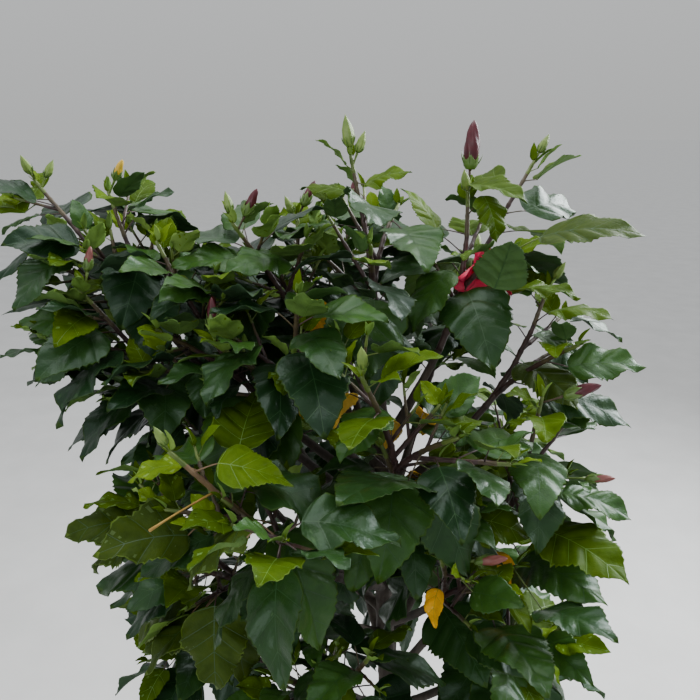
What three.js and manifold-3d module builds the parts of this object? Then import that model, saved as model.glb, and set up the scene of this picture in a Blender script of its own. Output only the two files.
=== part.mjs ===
// A potted hibiscus shrub: a plain clay pot filled with soil, a trunk that forks into boughs, and a mass of
// foliage on each bough. Millimetres, +Z up, with the origin at the centre of the pot's flat underside.
import * as THREE from 'three';
import { mergeVertices } from 'three/addons/utils/BufferGeometryUtils.js';
import Module from 'manifold-3d';

const wasm = await Module();
wasm.setup();

// Driving dimensions
const pot = {
  height: 280, rimRadius: 165, footRadius: 118, wall: 9, floor: 14, bandHeight: 34, bandStep: 6, sides: 24,
};
const soilTop = 250;
const forkHeight = 1020;
const trunk = { footRadius: 14, forkRadius: 9, flare: 8, flareFall: 22, sides: 10, steps: 10 };
const bough = { footRadius: 6.4, tipRadius: 4.4, sides: 5, steps: 4, steepness: 0.38, spread: 0.55 };

// Side shoots leave the leading one at a share of its length, one after the other
const shoot = {
  leadRadius: 4.0, sideRadius: 3.2, tipRadius: 1.8, steps: 4, pull: 0.42, first: 0.10, next: 0.14,
};

// Twigs too, at a share that differs a little. A long leading shoot has two.
const twig = {
  footRadius: 2.6, tipRadius: 1.6, steps: 1, shortest: 75, longest: 105,
  first: 0.34, next: 0.26, vary: 0.06, longLead: 190, along: 0.6, out: 0.8, up: 0.3,
};
const rootDepth = 8;
const gap = 0.3;
const room = { leaf: 1.2, twig: 0.8, bough: 1.0, newTwig: 1.5, past: 3 };
const seed = 4127;

// Shares of a leaf's own size: where it is widest, half its width there, the lift of its edges,
// its half thickness and where its arch begins to fall
const leafShape = { widest: 0.38, half: 0.56, lift: 0.09, thick: 0.011, crest: 0.3 };

// How a leaf's stalk leans out of its stem, along it and up, and how far down a stem leaves still grow
const leafHold = { out: 0.85, along: 0.45, up: 0.2, aside: 0.15, last: 0.94, lower: 3 };

// What differs from leaf to leaf: a range about the middle, or a least value and the range above it
const vary = { turn: 0.4, rise: 36, roll: 1, length: [0.88, 0.26], width: [0.54, 0.10], sag: [0.45, 0.55] };

// Each bough leaves the trunk at its foot height and gives way to foliage after a share of its sweep.
// Each of its shoots ends at a bearing from the trunk in degrees, a reach from it and a height.
const boughs = [
  { name: 'leader', foot: 1020, share: 0.42, tips: [[159, 55, 1345], [245, 75, 1262], [85, 90, 1285]] },
  { name: 'right_high', foot: 1008, share: 0.46, tips: [[30, 98, 1305], [26, 186, 1336], [333, 128, 1250]] },
  { name: 'right_mid', foot: 930, share: 0.50, tips: [[17, 200, 1190], [345, 205, 1150]] },
  { name: 'right_low', foot: 640, share: 0.62, tips: [[337, 172, 1094], [335, 208, 1010]] },
  { name: 'back_left', foot: 975, share: 0.45, tips: [[195, 180, 1280], [152, 130, 1274]] },
  { name: 'left_high', foot: 905, share: 0.52, tips: [[173, 420, 1316], [176, 324, 1306], [184, 380, 1235]] },
  { name: 'left_mid', foot: 860, share: 0.55, tips: [[190, 342, 1212], [180, 300, 1130]] },
  { name: 'left_inner', foot: 940, share: 0.48, tips: [[186, 262, 1258], [202, 268, 1180]] },
  { name: 'centre_left', foot: 955, share: 0.45, tips: [[212, 222, 1172], [232, 165, 1225]] },
  { name: 'centre_front', foot: 900, share: 0.50, tips: [[258, 200, 1165], [285, 190, 1100]] },
  { name: 'centre_mid', foot: 820, share: 0.50, tips: [[262, 150, 1075], [295, 140, 1040]] },
  { name: 'front_left', foot: 800, share: 0.55, tips: [[229, 315, 1112], [252, 330, 1075]] },
  { name: 'left_low', foot: 720, share: 0.60, tips: [[223, 292, 967], [205, 300, 1020]] },
  { name: 'centre_low', foot: 740, share: 0.50, tips: [[283, 178, 962], [312, 190, 930]] },
  { name: 'front_low', foot: 610, share: 0.60, tips: [[262, 230, 890], [240, 250, 850]] },
  { name: 'right_skirt', foot: 590, share: 0.60, tips: [[318, 190, 830], [345, 215, 800]] },
  { name: 'back_right', foot: 885, share: 0.50, tips: [[55, 215, 1200], [75, 250, 1120]] },
  { name: 'back_high', foot: 945, share: 0.48, tips: [[105, 200, 1260], [125, 240, 1190]] },
  { name: 'back_far_left', foot: 840, share: 0.55, tips: [[150, 320, 1210], [140, 300, 1110]] },
  { name: 'back_low_right', foot: 690, share: 0.55, tips: [[40, 255, 985], [65, 265, 920]] },
  { name: 'back_low', foot: 660, share: 0.55, tips: [[100, 290, 1010], [118, 280, 930]] },
  { name: 'back_low_left', foot: 760, share: 0.58, tips: [[165, 310, 1040], [148, 300, 960]] },
  { name: 'left_skirt', foot: 560, share: 0.58, tips: [[188, 290, 880], [200, 270, 800]] },
  { name: 'front_skirt', foot: 525, share: 0.58, tips: [[275, 235, 760], [300, 225, 735]] },
  { name: 'back_skirt', foot: 505, share: 0.58, tips: [[85, 240, 780], [130, 245, 760], [20, 225, 790]] },
];

// Buds by bough: shoot, distance from its tip, bearing and rise of the stalk, stalk length, bud length
const buds = {
  leader: [[0, 2, 180, 82, 12, 34], [0, 10, 10, 70, 16, 24]],
  right_high: [[0, 2, 60, 84, 26, 46], [0, 14, 240, 68, 18, 26], [1, 2, 20, 60, 14, 24]],
  right_mid: [[0, 2, 330, 62, 14, 24]],
  right_low: [[0, 6, 345, 24, 26, 34], [1, 6, 340, 10, 24, 30]],
  back_left: [
    [0, 2, 150, 74, 14, 22], [0, 8, 350, 62, 18, 26], [1, 2, 30, 60, 16, 28], [1, 8, 200, 66, 14, 22],
  ],
  left_high: [[0, 2, 250, 60, 12, 24], [0, 10, 20, 62, 14, 22], [1, 2, 330, 55, 20, 26]],
  left_mid: [[0, 6, 40, 76, 26, 26]],
  centre_left: [[0, 2, 100, 78, 14, 28]],
  centre_front: [[0, 4, 260, 70, 14, 24]],
  front_left: [[0, 2, 200, 66, 10, 20]],
  centre_low: [[0, 12, 350, 12, 34, 32]],
  back_right: [[0, 2, 80, 66, 16, 26]],
  back_high: [[0, 2, 60, 72, 18, 30]],
  back_far_left: [[0, 4, 150, 70, 18, 28]],
  back_low: [[0, 2, 100, 60, 14, 24]],
};

// The open bloom: its bough and shoot, distance from the tip, and the bearing and rise of its stalk and of
// its own axis
const bloom = {
  bough: 'right_high', shoot: 2, along: 80, stalkBearing: 75, stalkRise: 20, bearing: 290, rise: -15,
  stalk: 38, petal: 58, breadth: 0.8, petals: 5, opening: 40, twist: 16, column: 62,
};

// The large leaves that show plainly from the front: bough, shoot, place on it, then the blade's bearing,
// rise, roll and length, and the stalk's length and rise
const shown = [
  ['right_high', 2, 0, 332, 12, 20, 102, 40, 33],
  ['right_high', 2, 2, 336, 0, -10, 60, 8, 67],
  ['right_mid', 0, 3, 331, -16, 0, 80, 13, 51],
  ['right_mid', 0, 4, 303, -11, 0, 94, 10, 9],
  ['right_high', 2, 3, 339, 6, 0, 78, 44, -16],
  ['right_low', 1, 3, 307, 3, 0, 110, 35, -22],
  ['right_low', 1, 1, 338, -5, 0, 80, 14, -14],
  ['right_low', 0, 6, 303, 13, 10, 119, 43, -39],
  ['centre_low', 1, 0, 308, 19, 0, 90, 50, -35],
  ['front_left', 0, 5, 313, -53, 0, 118, 19, 39],
  ['front_left', 0, 1, 359, -13, 25, 72, 24, 23],
  ['front_left', 0, 3, 82, 29, 0, 82, 49, 45],
  ['left_low', 1, 3, 175, -33, 0, 113, 32, 31],
  ['centre_front', 1, 2, 235, 23, 0, 122, 36, -40],
  ['centre_low', 0, 4, 185, -63, 0, 94, 41, 32],
  ['leader', 0, 2, 167, 9, -15, 57, 18, 33],
  ['leader', 0, 1, 346, 23, 10, 57, 10, -21],
  ['left_inner', 1, 3, 272, -47, 0, 53, 28, -8],
  ['back_left', 0, 4, 234, -49, 0, 78, 36, 4],
  ['left_low', 0, 3, 271, -69, 0, 92, 40, -13],
  ['left_high', 2, 2, 233, -27, 0, 84, 41, 50],
  ['left_high', 0, 2, 190, -18, 0, 50, 26, -2],
  ['right_high', 0, 0, 324, -6, 0, 75, 13, 79],
  ['right_high', 0, 1, 299, -53, 0, 57, 37, 43],
  ['right_high', 0, 2, 155, 51, 0, 68, 36, 6],
  ['leader', 2, 1, 285, -13, 0, 96, 39, -8],
  ['centre_low', 0, 5, 295, -17, 15, 101, 9, -15],
  ['centre_low', 1, 2, 289, 7, 0, 103, 50, -40],
  ['centre_front', 0, 3, 231, -22, 0, 70, 24, 71],
];
const shownShape = { width: 0.70, sag: 0.7 };

const up = new THREE.Vector3(0, 0, 1);
const level = new THREE.Vector3(1, 0, 0);
const degree = Math.PI / 180;

// Numbers from 0 to 1 in a fixed order, from one seed
class Draw {
  constructor(start) {
    this.state = start;
  }

  number() {
    this.state = (this.state * 48271) % 2147483647;
    return this.state / 2147483647;
  }

  between(low, high) {
    return low + (high - low) * this.number();
  }
}

// The sum of some vectors, each with its own weight
function blend(...pairs) {
  const sum = new THREE.Vector3();
  for (const [vector, weight] of pairs) sum.addScaledVector(vector, weight);
  return sum;
}

function unit(...pairs) {
  return blend(...pairs).normalize();
}

function place(bearing, reach, height) {
  return new THREE.Vector3(reach * Math.cos(bearing * degree), reach * Math.sin(bearing * degree), height);
}

function heading(bearing, rise) {
  return place(bearing, Math.cos(rise * degree), Math.sin(rise * degree));
}

function trunkShare(height) {
  return (height - soilTop) / (forkHeight - soilTop);
}

// The trunk sways a little on its way up
function trunkAxis(height) {
  const s = trunkShare(height);
  return new THREE.Vector3(10 * Math.sin(5.5 * s) * s - 4 * s, 8 * Math.sin(4.2 * s), height);
}

function trunkRadius(height) {
  const { footRadius, forkRadius, flare, flareFall } = trunk;
  const s = trunkShare(height);
  return footRadius + (forkRadius - footRadius) * s + flare * Math.exp(-flareFall * s);
}

// One tapering limb of straight steps along a curve, from a start by a pull to an end
class Limb {
  constructor(start, pull, end, thick, thin, steps) {
    this.curve = new THREE.QuadraticBezierCurve3(start, pull, end);
    this.steps = steps;
    this.thick = thick;
    this.thin = thin;
    const chord = blend([end, 1], [start, -1]);
    const lean = Math.abs(chord.z) < 0.9 * chord.length() ? up : level;
    this.side = chord.clone().cross(lean).normalize();
    const points = this.curve.getPoints(8);
    this.length = points.slice(1).reduce((sum, point, i) => sum + point.distanceTo(points[i]), 0);
  }

  spot(t) {
    const step = Math.min(Math.floor(t * this.steps), this.steps - 1);
    const [from, to] = [step, step + 1].map((i) => this.curve.getPoint(i / this.steps));
    return from.lerp(to, t * this.steps - step);
  }

  way(t) {
    const { v0, v1, v2 } = this.curve;
    return unit([v0, t - 1], [v1, 1 - 2 * t], [v2, t]);
  }

  radius(t) {
    return this.thick + (this.thin - this.thick) * t;
  }

  // A direction square to the limb, turned about it
  across(t, turn) {
    const way = this.way(t);
    const first = unit([this.side, 1], [way, -this.side.dot(way)]);
    return blend([first, Math.cos(turn)], [way.cross(first), Math.sin(turn)]);
  }
}

function boughLimb({ foot, share, tips }) {
  const start = trunkAxis(foot);
  const goal = blend(...tips.map((tip) => [place(...tip), 1 / tips.length]));
  const lean = new THREE.Vector3(bough.spread, bough.spread, bough.steepness);
  const pull = start.clone().add(blend([goal, 1], [start, -1]).multiply(lean));
  const middle = blend([start, 1 - share], [pull, share]);
  const end = new THREE.QuadraticBezierCurve3(start, pull, goal).getPoint(share);
  return new Limb(start, middle, end, bough.footRadius, bough.tipRadius, bough.steps);
}

// Leaves by age, counted from the youngest at the shoot's tip
const ripe = (age) => Math.sin(Math.min(1, age / 6.5) * Math.PI / 2);
const leafGap = (age) => 5.6 + 7.2 * age + 1.35 * age * age;
const leafLength = (age) => 24 + 76 * ripe(age);
const leafStalk = (age) => 6 + 28 * ripe(age);
const leafFall = (height) => 0.05 * Math.max(0, 1200 - height);
const leafRise = (age, height) => 72 - 112 * (1 - Math.exp(-age / 3.6)) - leafFall(height);
const leadAges = [0, 2, 3.3, 4.6, 5.9, 7.2, 8.5, 9.8];
const twigAges = [1, 3, 5];

// What grows on a three-sided limb leaves it through one of its faces, the next one each time, a little aside
function faceTurn(spin, order) {
  const aside = spin * 3 - Math.floor(spin * 3) - 0.5;
  return Math.PI / 2 + (Math.floor(spin * 3) + order) * (2 * Math.PI / 3) + aside;
}

// The way a blade points and the way its face looks, from a level heading, a rise and a roll
function held(flat, rise, roll) {
  const blade = blend([flat, Math.cos(rise)], [up, Math.sin(rise)]);
  const face = blend([up, Math.cos(rise)], [flat, -Math.sin(rise)]);
  return { blade, normal: blend([face, Math.cos(roll)], [blade.clone().cross(face), Math.sin(roll)]) };
}

// A leaf: its root in the stem, a stalk along out, and a blade that arches over and hangs by its sag
class Leaf {
  constructor({ root, out, blade, normal, length, width, stalk, sag }) {
    Object.assign(this, { root, out, blade, normal, length, width, stalk, sag });
    this.side = normal.clone().cross(blade);
    this.foot = blend([root, 1], [out, stalk]);
  }

  spine(s) {
    const k = this.sag;
    const bend = k * leafShape.crest;
    const along = (Math.sin(k * s - bend) + Math.sin(bend)) / k;
    const down = (Math.cos(bend) - Math.cos(k * s - bend)) / k;
    return blend([this.foot, 1], [this.blade, along * this.length], [this.normal, -down * this.length]);
  }

  // Six corners: root, left edge, right edge, tip, middle above and below
  corners(grow = 0) {
    const { root, normal, side } = this;
    const middle = this.spine(leafShape.widest);
    const half = leafShape.half * this.width + grow;
    const lift = leafShape.lift * this.width;
    const end = this.spine(1);
    const thick = leafShape.thick * (this.length + this.stalk) + grow;
    return [
      root,
      blend([middle, 1], [side, half], [normal, lift]),
      blend([middle, 1], [side, -half], [normal, lift]),
      blend([end, 1], [unit([end, 1], [middle, -1]), grow]),
      blend([middle, 1], [normal, thick]),
      blend([middle, 1], [normal, -thick]),
    ];
  }
}

const leafFaces = [
  [0, 2, 4], [2, 3, 4], [3, 1, 4], [1, 0, 4], [0, 5, 2], [2, 5, 3], [3, 5, 1], [1, 5, 0],
];
const rodFaces = [
  [0, 1, 5], [0, 5, 4], [1, 2, 6], [1, 6, 5], [2, 3, 7], [2, 7, 6], [3, 0, 4], [3, 4, 7],
  [0, 2, 1], [0, 3, 2], [4, 5, 6], [4, 6, 7],
];

function edgesOf(faces) {
  const found = new Map();
  for (const [a, b, c] of faces) {
    for (const edge of [[a, b], [b, c], [c, a]]) {
      edge.sort((p, q) => p - q);
      found.set(edge.join(), edge);
    }
  }
  return [...found.values()];
}

// The eight corners of a square rod between two points
function rodCorners(a, b, radiusA, radiusB) {
  const way = unit([b, 1], [a, -1]);
  const e = way.clone().cross(Math.abs(way.z) < 0.9 ? up : level).normalize();
  const f = way.clone().cross(e);
  const ring = [[e, 1], [f, 1], [e, -1], [f, -1]];
  const corners = ([centre, radius]) => ring.map(([d, sign]) => blend([centre, 1], [d, sign * radius]));
  return [[a, radiusA], [b, radiusB]].flatMap(corners);
}

const ray = new THREE.Ray();
const hit = new THREE.Vector3();

function piercesFace(from, to, a, b, c) {
  ray.origin.copy(from);
  ray.direction.copy(to).sub(from).normalize();
  const met = ray.intersectTriangle(a, b, c, false, hit);
  return met !== null && hit.distanceTo(from) <= from.distanceTo(to);
}

// What is already grown. Whatever comes next may not pass through it.
class Space {
  constructor() {
    this.bodies = [];
    this.edges = new Map([leafFaces, rodFaces].map((faces) => [faces, edgesOf(faces)]));
  }

  body(points, faces, owner) {
    const box = new THREE.Box3().setFromPoints(points);
    return { points, faces, edges: this.edges.get(faces), owner, box };
  }

  add(points, faces, owner) {
    this.bodies.push(this.body(points, faces, owner));
  }

  pierces(one, other) {
    return one.edges.some(([i, j]) => other.faces.some(([a, b, c]) =>
      piercesFace(one.points[i], one.points[j], other.points[a], other.points[b], other.points[c])));
  }

  clear(points, faces, skip) {
    const next = this.body(points, faces);
    return !this.bodies.some((body) => body.owner !== skip && body.box.intersectsBox(next.box)
      && (this.pierces(next, body) || this.pierces(body, next)));
  }

  rods(limb, swell) {
    const radius = (t) => limb.radius(t) * Math.SQRT2 + swell;
    return Array.from({ length: limb.steps }, (_, i) => [i / limb.steps, (i + 1) / limb.steps])
      .map(([a, b]) => rodCorners(limb.spot(a), limb.spot(b), radius(a), radius(b)));
  }

  addLimb(limb, owner, swell) {
    for (const rod of this.rods(limb, swell)) this.add(rod, rodFaces, owner);
  }

  clearLimb(limb, skip, swell) {
    return this.rods(limb, swell).every((rod) => this.clear(rod, rodFaces, skip));
  }
}

// The trunk takes its room first, then each bough with its leading shoots
function growShoots(space, draw) {
  for (let i = 0; i < trunk.steps; i++) {
    const [a, b] = [i, i + 1].map((k) => soilTop + (forkHeight - soilTop) * k / trunk.steps);
    const [wide, narrow] = [a, b].map((height) => trunkRadius(height) * Math.SQRT2);
    space.add(rodCorners(trunkAxis(a), trunkAxis(b), wide, narrow), rodFaces, 'trunk');
  }
  const limbs = new Map();
  const shoots = [];
  for (const row of boughs) {
    const limb = boughLimb(row);
    limbs.set(row.name, limb);
    space.addLimb(limb, row.name, room.bough);
    let lead = null;
    row.tips.forEach((tip, order) => {
      const end = place(...tip);
      const t = shoot.first + shoot.next * order;
      const start = lead ? lead.spot(t) : limb.spot(1);
      const ahead = lead ? unit([lead.way(t), 1], [unit([end, 1], [start, -1]), 1]) : limb.way(1);
      const pull = blend([start, 1], [ahead, start.distanceTo(end) * shoot.pull]);
      const thick = lead ? shoot.sideRadius : shoot.leadRadius;
      const next = new Limb(start, pull, end, thick, shoot.tipRadius, shoot.steps);
      lead ??= next;
      shoots.push({ name: row.name, limb: next, order, turn: draw.number() });
      space.addLimb(next, row.name, room.twig);
    });
  }
  return { limbs, shoots };
}

// One or two side twigs on each leading shoot
function growTwigs(space, draw, shoots) {
  for (const { name, limb: lead, order } of [...shoots]) {
    for (let j = 0; j < (lead.length > twig.longLead && order === 0 ? 2 : 1); j++) {
      const spin = draw.number();
      const long = draw.between(twig.shortest, twig.longest);
      const t = twig.first + twig.next * j + draw.between(-twig.vary, twig.vary);
      const turn = draw.number();
      for (let attempt = 0; attempt < 4; attempt++) {
        const out = lead.across(t, faceTurn(spin, attempt));
        const start = lead.spot(t);
        const way = unit([lead.way(t), twig.along], [out, twig.out], [up, twig.up]);
        const [middle, end] = [0.5, 1].map((share) => blend([start, 1], [way, long * share]));
        const limb = new Limb(start, middle, end, twig.footRadius, twig.tipRadius, twig.steps);
        if (!space.clearLimb(limb, name, room.newTwig)) continue;
        shoots.push({ name, limb, order: -1, turn });
        space.addLimb(limb, name, room.twig);
        break;
      }
    }
  }
}

// The buds keep clear of every limb but their own
function growBuds(space, leads) {
  const grown = [];
  for (const [name, rows] of Object.entries(buds)) {
    for (const [order, along, bearing, rise, stalk, long] of rows) {
      const limb = leads.get(name)[order];
      const root = limb.spot(1 - along / limb.length);
      const way = heading(bearing, rise);
      const rod = rodCorners(blend([root, 1], [way, 4]), blend([root, 1], [way, stalk + long]), 3, 6);
      if (!space.clear(rod, rodFaces, name)) continue;
      grown.push({ name, root, way, stalk, long });
      space.add(rod, rodFaces, `${name} bud`);
    }
  }
  return grown;
}

// The petals stand round the bloom's axis, open like a funnel, each twisted so that it laps over the next
function growBloom(space, leads) {
  const limb = leads.get(bloom.bough)[bloom.shoot];
  const root = limb.spot(1 - bloom.along / limb.length);
  const stalk = heading(bloom.stalkBearing, bloom.stalkRise);
  const throat = blend([root, 1], [stalk, bloom.stalk]);
  const axis = heading(bloom.bearing, bloom.rise);
  const e = axis.clone().cross(up).normalize();
  const f = axis.clone().cross(e);
  const petals = [];
  for (let i = 0; i < bloom.petals; i++) {
    const turn = 2 * Math.PI * i / bloom.petals;
    const away = blend([e, Math.cos(turn)], [f, Math.sin(turn)]);
    const open = bloom.opening * degree;
    const blade = blend([axis, Math.cos(open)], [away, Math.sin(open)]);
    const face = blend([axis, Math.sin(open)], [away, -Math.cos(open)]);
    const twist = bloom.twist * degree;
    const normal = blend([face, Math.cos(twist)], [blade.clone().cross(face), Math.sin(twist)]);
    const [length, width] = [bloom.petal, bloom.breadth * bloom.petal];
    petals.push(new Leaf({ root: throat, out: axis, blade, normal, length, width, stalk: 3, sag: 0.9 }));
  }
  const column = blend([throat, 1], [axis, bloom.column]);
  for (const petal of petals) space.add(petal.corners(room.leaf), leafFaces, `${bloom.bough} bloom`);
  space.add(rodCorners(throat, column, 3, 3), rodFaces, `${bloom.bough} bloom`);
  return { root, throat, column, petals };
}

// The room that a leaf takes, with and without the part of its stalk that is in the stem
function leafRoom(leaf, thick) {
  const full = leaf.corners(room.leaf);
  const past = thick * Math.SQRT2 + room.past;
  return [full, full.map((point, i) => blend([point, 1], [leaf.out, i < 1 ? past : 0]))];
}

// One leaf on a shoot. A leaf that would pass through something is turned and lowered, and at last left out.
function growLeaf(space, { name, limb, turn }, order, age, wobble) {
  const t = 1 - leafGap(age) / limb.length;
  const root = limb.spot(t);
  const pick = ([least, range], k) => least + range * wobble[k];
  for (let attempt = 0; attempt < 9; attempt++) {
    const shift = [0, 0.3, -0.3][Math.floor(attempt / 3)] + (wobble[0] - 0.5) * vary.turn;
    const spin = faceTurn(turn, order + attempt) + shift;
    const { out: wide, along, up: high, aside, lower } = leafHold;
    const out = unit([limb.across(t, spin), wide], [limb.way(t), along], [up, high]);
    const flat = unit([new THREE.Vector3(out.x, out.y, 0), 1], [place(spin / degree, 1, 0), aside]);
    const rise = (leafRise(age, root.z) + (wobble[1] - 0.5) * vary.rise - attempt * lower) * degree;
    const length = leafLength(age) * pick(vary.length, 3);
    const width = length * pick(vary.width, 5);
    const way = held(flat, rise, (wobble[2] - 0.5) * vary.roll);
    const [stalk, sag] = [leafStalk(age), pick(vary.sag, 4)];
    const leaf = new Leaf({ root, out, ...way, length, width, stalk, sag });
    const [full, outside] = leafRoom(leaf, limb.radius(t));
    if (space.clear(full, leafFaces, name) && space.clear(outside, leafFaces)) {
      space.add(outside, leafFaces, `${name} leaf`);
      return leaf;
    }
  }
  return null;
}

// The leaves that show plainly go first
function growShown(space, leads) {
  const grown = new Map();
  for (const [name, order, spot, bearing, rise, roll, length, stalk, stalkRise] of shown) {
    const limb = leads.get(name)[order];
    const t = 1 - leafGap(leadAges[spot]) / limb.length;
    const way = held(place(bearing, 1, 0), rise * degree, roll * degree);
    const { sag } = shownShape;
    const width = shownShape.width * length;
    const out = heading(bearing, stalkRise);
    const leaf = new Leaf({ root: limb.spot(t), out, ...way, length, width, stalk, sag });
    const [full, outside] = leafRoom(leaf, limb.radius(t));
    if (!space.clear(full, leafFaces, name)) continue;
    space.add(outside, leafFaces, `${name} leaf`);
    grown.set([name, order, spot].join(), leaf);
  }
  return grown;
}

// A leaf that shows plainly keeps its place. A side shoot has no other leaf at its very tip, nor has a shoot
// that ends in a bud.
function growLeaves(space, draw, shoots, first) {
  const grown = new Map(boughs.map(({ name }) => [name, []]));
  for (const one of shoots) {
    const ages = one.order < 0 ? twigAges : leadAges;
    const budded = (buds[one.name] ?? []).some(([order, along]) => order === one.order && along < 5);
    ages.forEach((age, order) => {
      const bare = order === 0 && (budded || one.order > 0);
      const plain = first.get([one.name, one.order, order].join());
      if (plain) grown.get(one.name).push(plain);
      if (plain || bare || leafGap(age) >= one.limb.length * leafHold.last) return;
      const leaf = growLeaf(space, one, order, age, Array.from({ length: 6 }, () => draw.number()));
      if (leaf) grown.get(one.name).push(leaf);
    });
  }
  return grown;
}

// Solids: a closed geometry becomes a solid that can be joined and cut, and a solid becomes a geometry again
function solidOf(geometry) {
  geometry.deleteAttribute('normal');
  geometry.deleteAttribute('uv');
  const merged = mergeVertices(geometry, 1e-4);
  const vertProperties = new Float32Array(merged.attributes.position.array);
  const corners = merged.index.array;
  const faces = Array.from({ length: corners.length / 3 }, (_, i) => [...corners.slice(3 * i, 3 * i + 3)]);
  const triVerts = new Uint32Array(faces.filter((face) => new Set(face).size === 3).flat());
  return new wasm.Manifold(new wasm.Mesh({ numProp: 3, vertProperties, triVerts }));
}

function geometryOf(solid) {
  const { vertProperties, triVerts } = solid.getMesh();
  const geometry = new THREE.BufferGeometry();
  geometry.setAttribute('position', new THREE.BufferAttribute(new Float32Array(vertProperties), 3));
  geometry.setIndex(new THREE.BufferAttribute(new Uint32Array(triVerts), 1));
  geometry.computeVertexNormals();
  return geometry;
}

// The one body of a cut solid that is worth keeping
function largest(solid) {
  return solid.decompose().reduce((best, next) => (next.volume() > best.volume() ? next : best));
}

function cornerSolid(points, faces) {
  const geometry = new THREE.BufferGeometry().setFromPoints(points);
  geometry.setIndex(faces.flat());
  return solidOf(geometry);
}

// An upright cylinder of few sides whose points are moved, ring by ring from its foot, even to a single point
function bentSolid(sides, steps, move) {
  const geometry = new THREE.CylinderGeometry(1, 1, 1, sides, steps);
  const { position } = geometry.attributes;
  for (let i = 0; i < position.count; i++) {
    const ring = Math.round((position.getY(i) + 0.5) * steps);
    const point = move(position.getX(i), position.getZ(i), ring);
    position.setXYZ(i, point.x, point.y, point.z);
  }
  return solidOf(geometry);
}

// A limb through rings, each with its place along it and its radius
function ringSolid(limb, sides, rings) {
  return bentSolid(sides, rings.length - 1, (x, z, ring) => {
    const [t, radius] = rings[ring];
    const [one, other] = [0, Math.PI / 2].map((turn) => limb.across(t, turn));
    return blend([limb.spot(t), 1], [one, x * radius], [other, -z * radius]);
  });
}

const stepEnds = (limb) => Array.from({ length: limb.steps }, (_, i) => (i + 1) / limb.steps);

function limbSolid(limb, sides, from = 0) {
  return ringSolid(limb, sides, [from, ...stepEnds(limb)].map((t) => [t, limb.radius(t)]));
}

// A shoot that grows out of another one starts as a point on that one's axis
function sunkSolid(limb) {
  const spots = [rootDepth / limb.length, ...stepEnds(limb)];
  return ringSolid(limb, 3, [[0, 0], ...spots.map((t) => [t, limb.radius(t)])]);
}

function straight(from, to) {
  return new Limb(from, blend([from, 0.5], [to, 0.5]), to, 1, 1, 1);
}

// The trunk's rings stay level, so that its foot is cut flat at the soil
function trunkSolid(grow = 0) {
  return bentSolid(trunk.sides, trunk.steps, (x, z, ring) => {
    const share = ring / trunk.steps;
    const height = soilTop + gap + (forkHeight - soilTop - gap) * share ** 1.5 + grow * (2 * share - 1);
    const radius = trunkRadius(height) + grow;
    return trunkAxis(height).add(new THREE.Vector3(x * radius, -z * radius, 0));
  });
}

// A bud on its stalk, in one: a slim drop that is widest below its middle
function budSolid({ root, way, stalk, long }) {
  const whole = stalk + long;
  const rings = [[0, 0], [5, 1.5], [stalk, 1.5], [stalk + 0.38 * long, 0.17 * long + 1.4], [whole, 0]];
  const limb = straight(root, blend([root, 1], [way, whole]));
  return ringSolid(limb, 4, rings.map(([along, radius]) => [along / whole, radius]));
}

function bloomSolids({ root, throat, column, petals }) {
  const parts = petals.map((petal) => cornerSolid(petal.corners(), leafFaces));
  const stalk = ringSolid(straight(root, throat), 4, [[0, 0], [0.2, 1.8], [1, 2.4]]);
  const style = ringSolid(straight(throat, column), 4, [[0, 2.4], [0.8, 2.4], [1, 0]]);
  return [...parts, stalk, style];
}

function turnedGeometry(profile) {
  const points = profile.map(([radius, height]) => new THREE.Vector2(radius, height));
  return new THREE.LatheGeometry(points, pot.sides).rotateX(Math.PI / 2);
}

// The pot's outer radius below its rim band
function sideRadius(z) {
  return pot.footRadius + (pot.rimRadius - pot.bandStep - pot.footRadius) * z / pot.height;
}

function potGeometry() {
  const { height, rimRadius, footRadius, wall, floor, bandHeight } = pot;
  return turnedGeometry([
    [0, 0], [footRadius - 3, 0], [sideRadius(4), 4],
    [sideRadius(height - bandHeight), height - bandHeight], [rimRadius - 1.5, height - bandHeight + 3],
    [rimRadius, height - 4], [rimRadius - 3, height], [sideRadius(height) - wall + 2, height],
    [sideRadius(height - 4) - wall, height - 4], [sideRadius(floor) - wall, floor], [0, floor],
  ]);
}

function soilGeometry() {
  const { wall, floor } = pot;
  const radius = (z) => sideRadius(z) - wall - gap;
  const foot = floor + gap;
  return turnedGeometry([[0, foot], [radius(floor), foot], [radius(soilTop), soilTop], [0, soilTop]]);
}

function finish(colour, roughness) {
  return new THREE.MeshStandardMaterial({ color: colour, roughness, metalness: 0 });
}

const finishes = {
  clay: finish(0xb5694a, 0.85),
  soil: finish(0x3a2a1f, 1.0),
  bark: finish(0x4a3a30, 0.9),
  foliage: finish(0x2f5a26, 0.45),
};

function named(name, geometry, material) {
  const mesh = new THREE.Mesh(geometry, material);
  mesh.name = name;
  return mesh;
}

// The whole plant grows in one order from one seed
function growPlant() {
  const space = new Space();
  const draw = new Draw(seed);
  const { limbs, shoots } = growShoots(space, draw);
  const leads = new Map(boughs.map(({ name }) => [name, shoots.filter((one) => one.name === name)
    .map((one) => one.limb)]));
  const grownBuds = growBuds(space, leads);
  const grownBloom = growBloom(space, leads);
  const first = growShown(space, leads);
  growTwigs(space, draw, shoots);
  const leaves = growLeaves(space, draw, shoots, first);
  return { limbs, shoots, buds: grownBuds, bloom: grownBloom, leaves };
}

// A mass of foliage: its first shoot starts just clear of the bough's tip, and all the rest is fused to it
function foliageSolid(name, plant) {
  const parts = plant.shoots.filter((one) => one.name === name)
    .map(({ limb, order }) => (order === 0 ? limbSolid(limb, 3, gap / limb.length) : sunkSolid(limb)));
  for (const leaf of plant.leaves.get(name)) parts.push(cornerSolid(leaf.corners(), leafFaces));
  for (const bud of plant.buds.filter((one) => one.name === name)) parts.push(budSolid(bud));
  if (name === bloom.bough) parts.push(...bloomSolids(plant.bloom));
  return largest(wasm.Manifold.union(parts));
}

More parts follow.
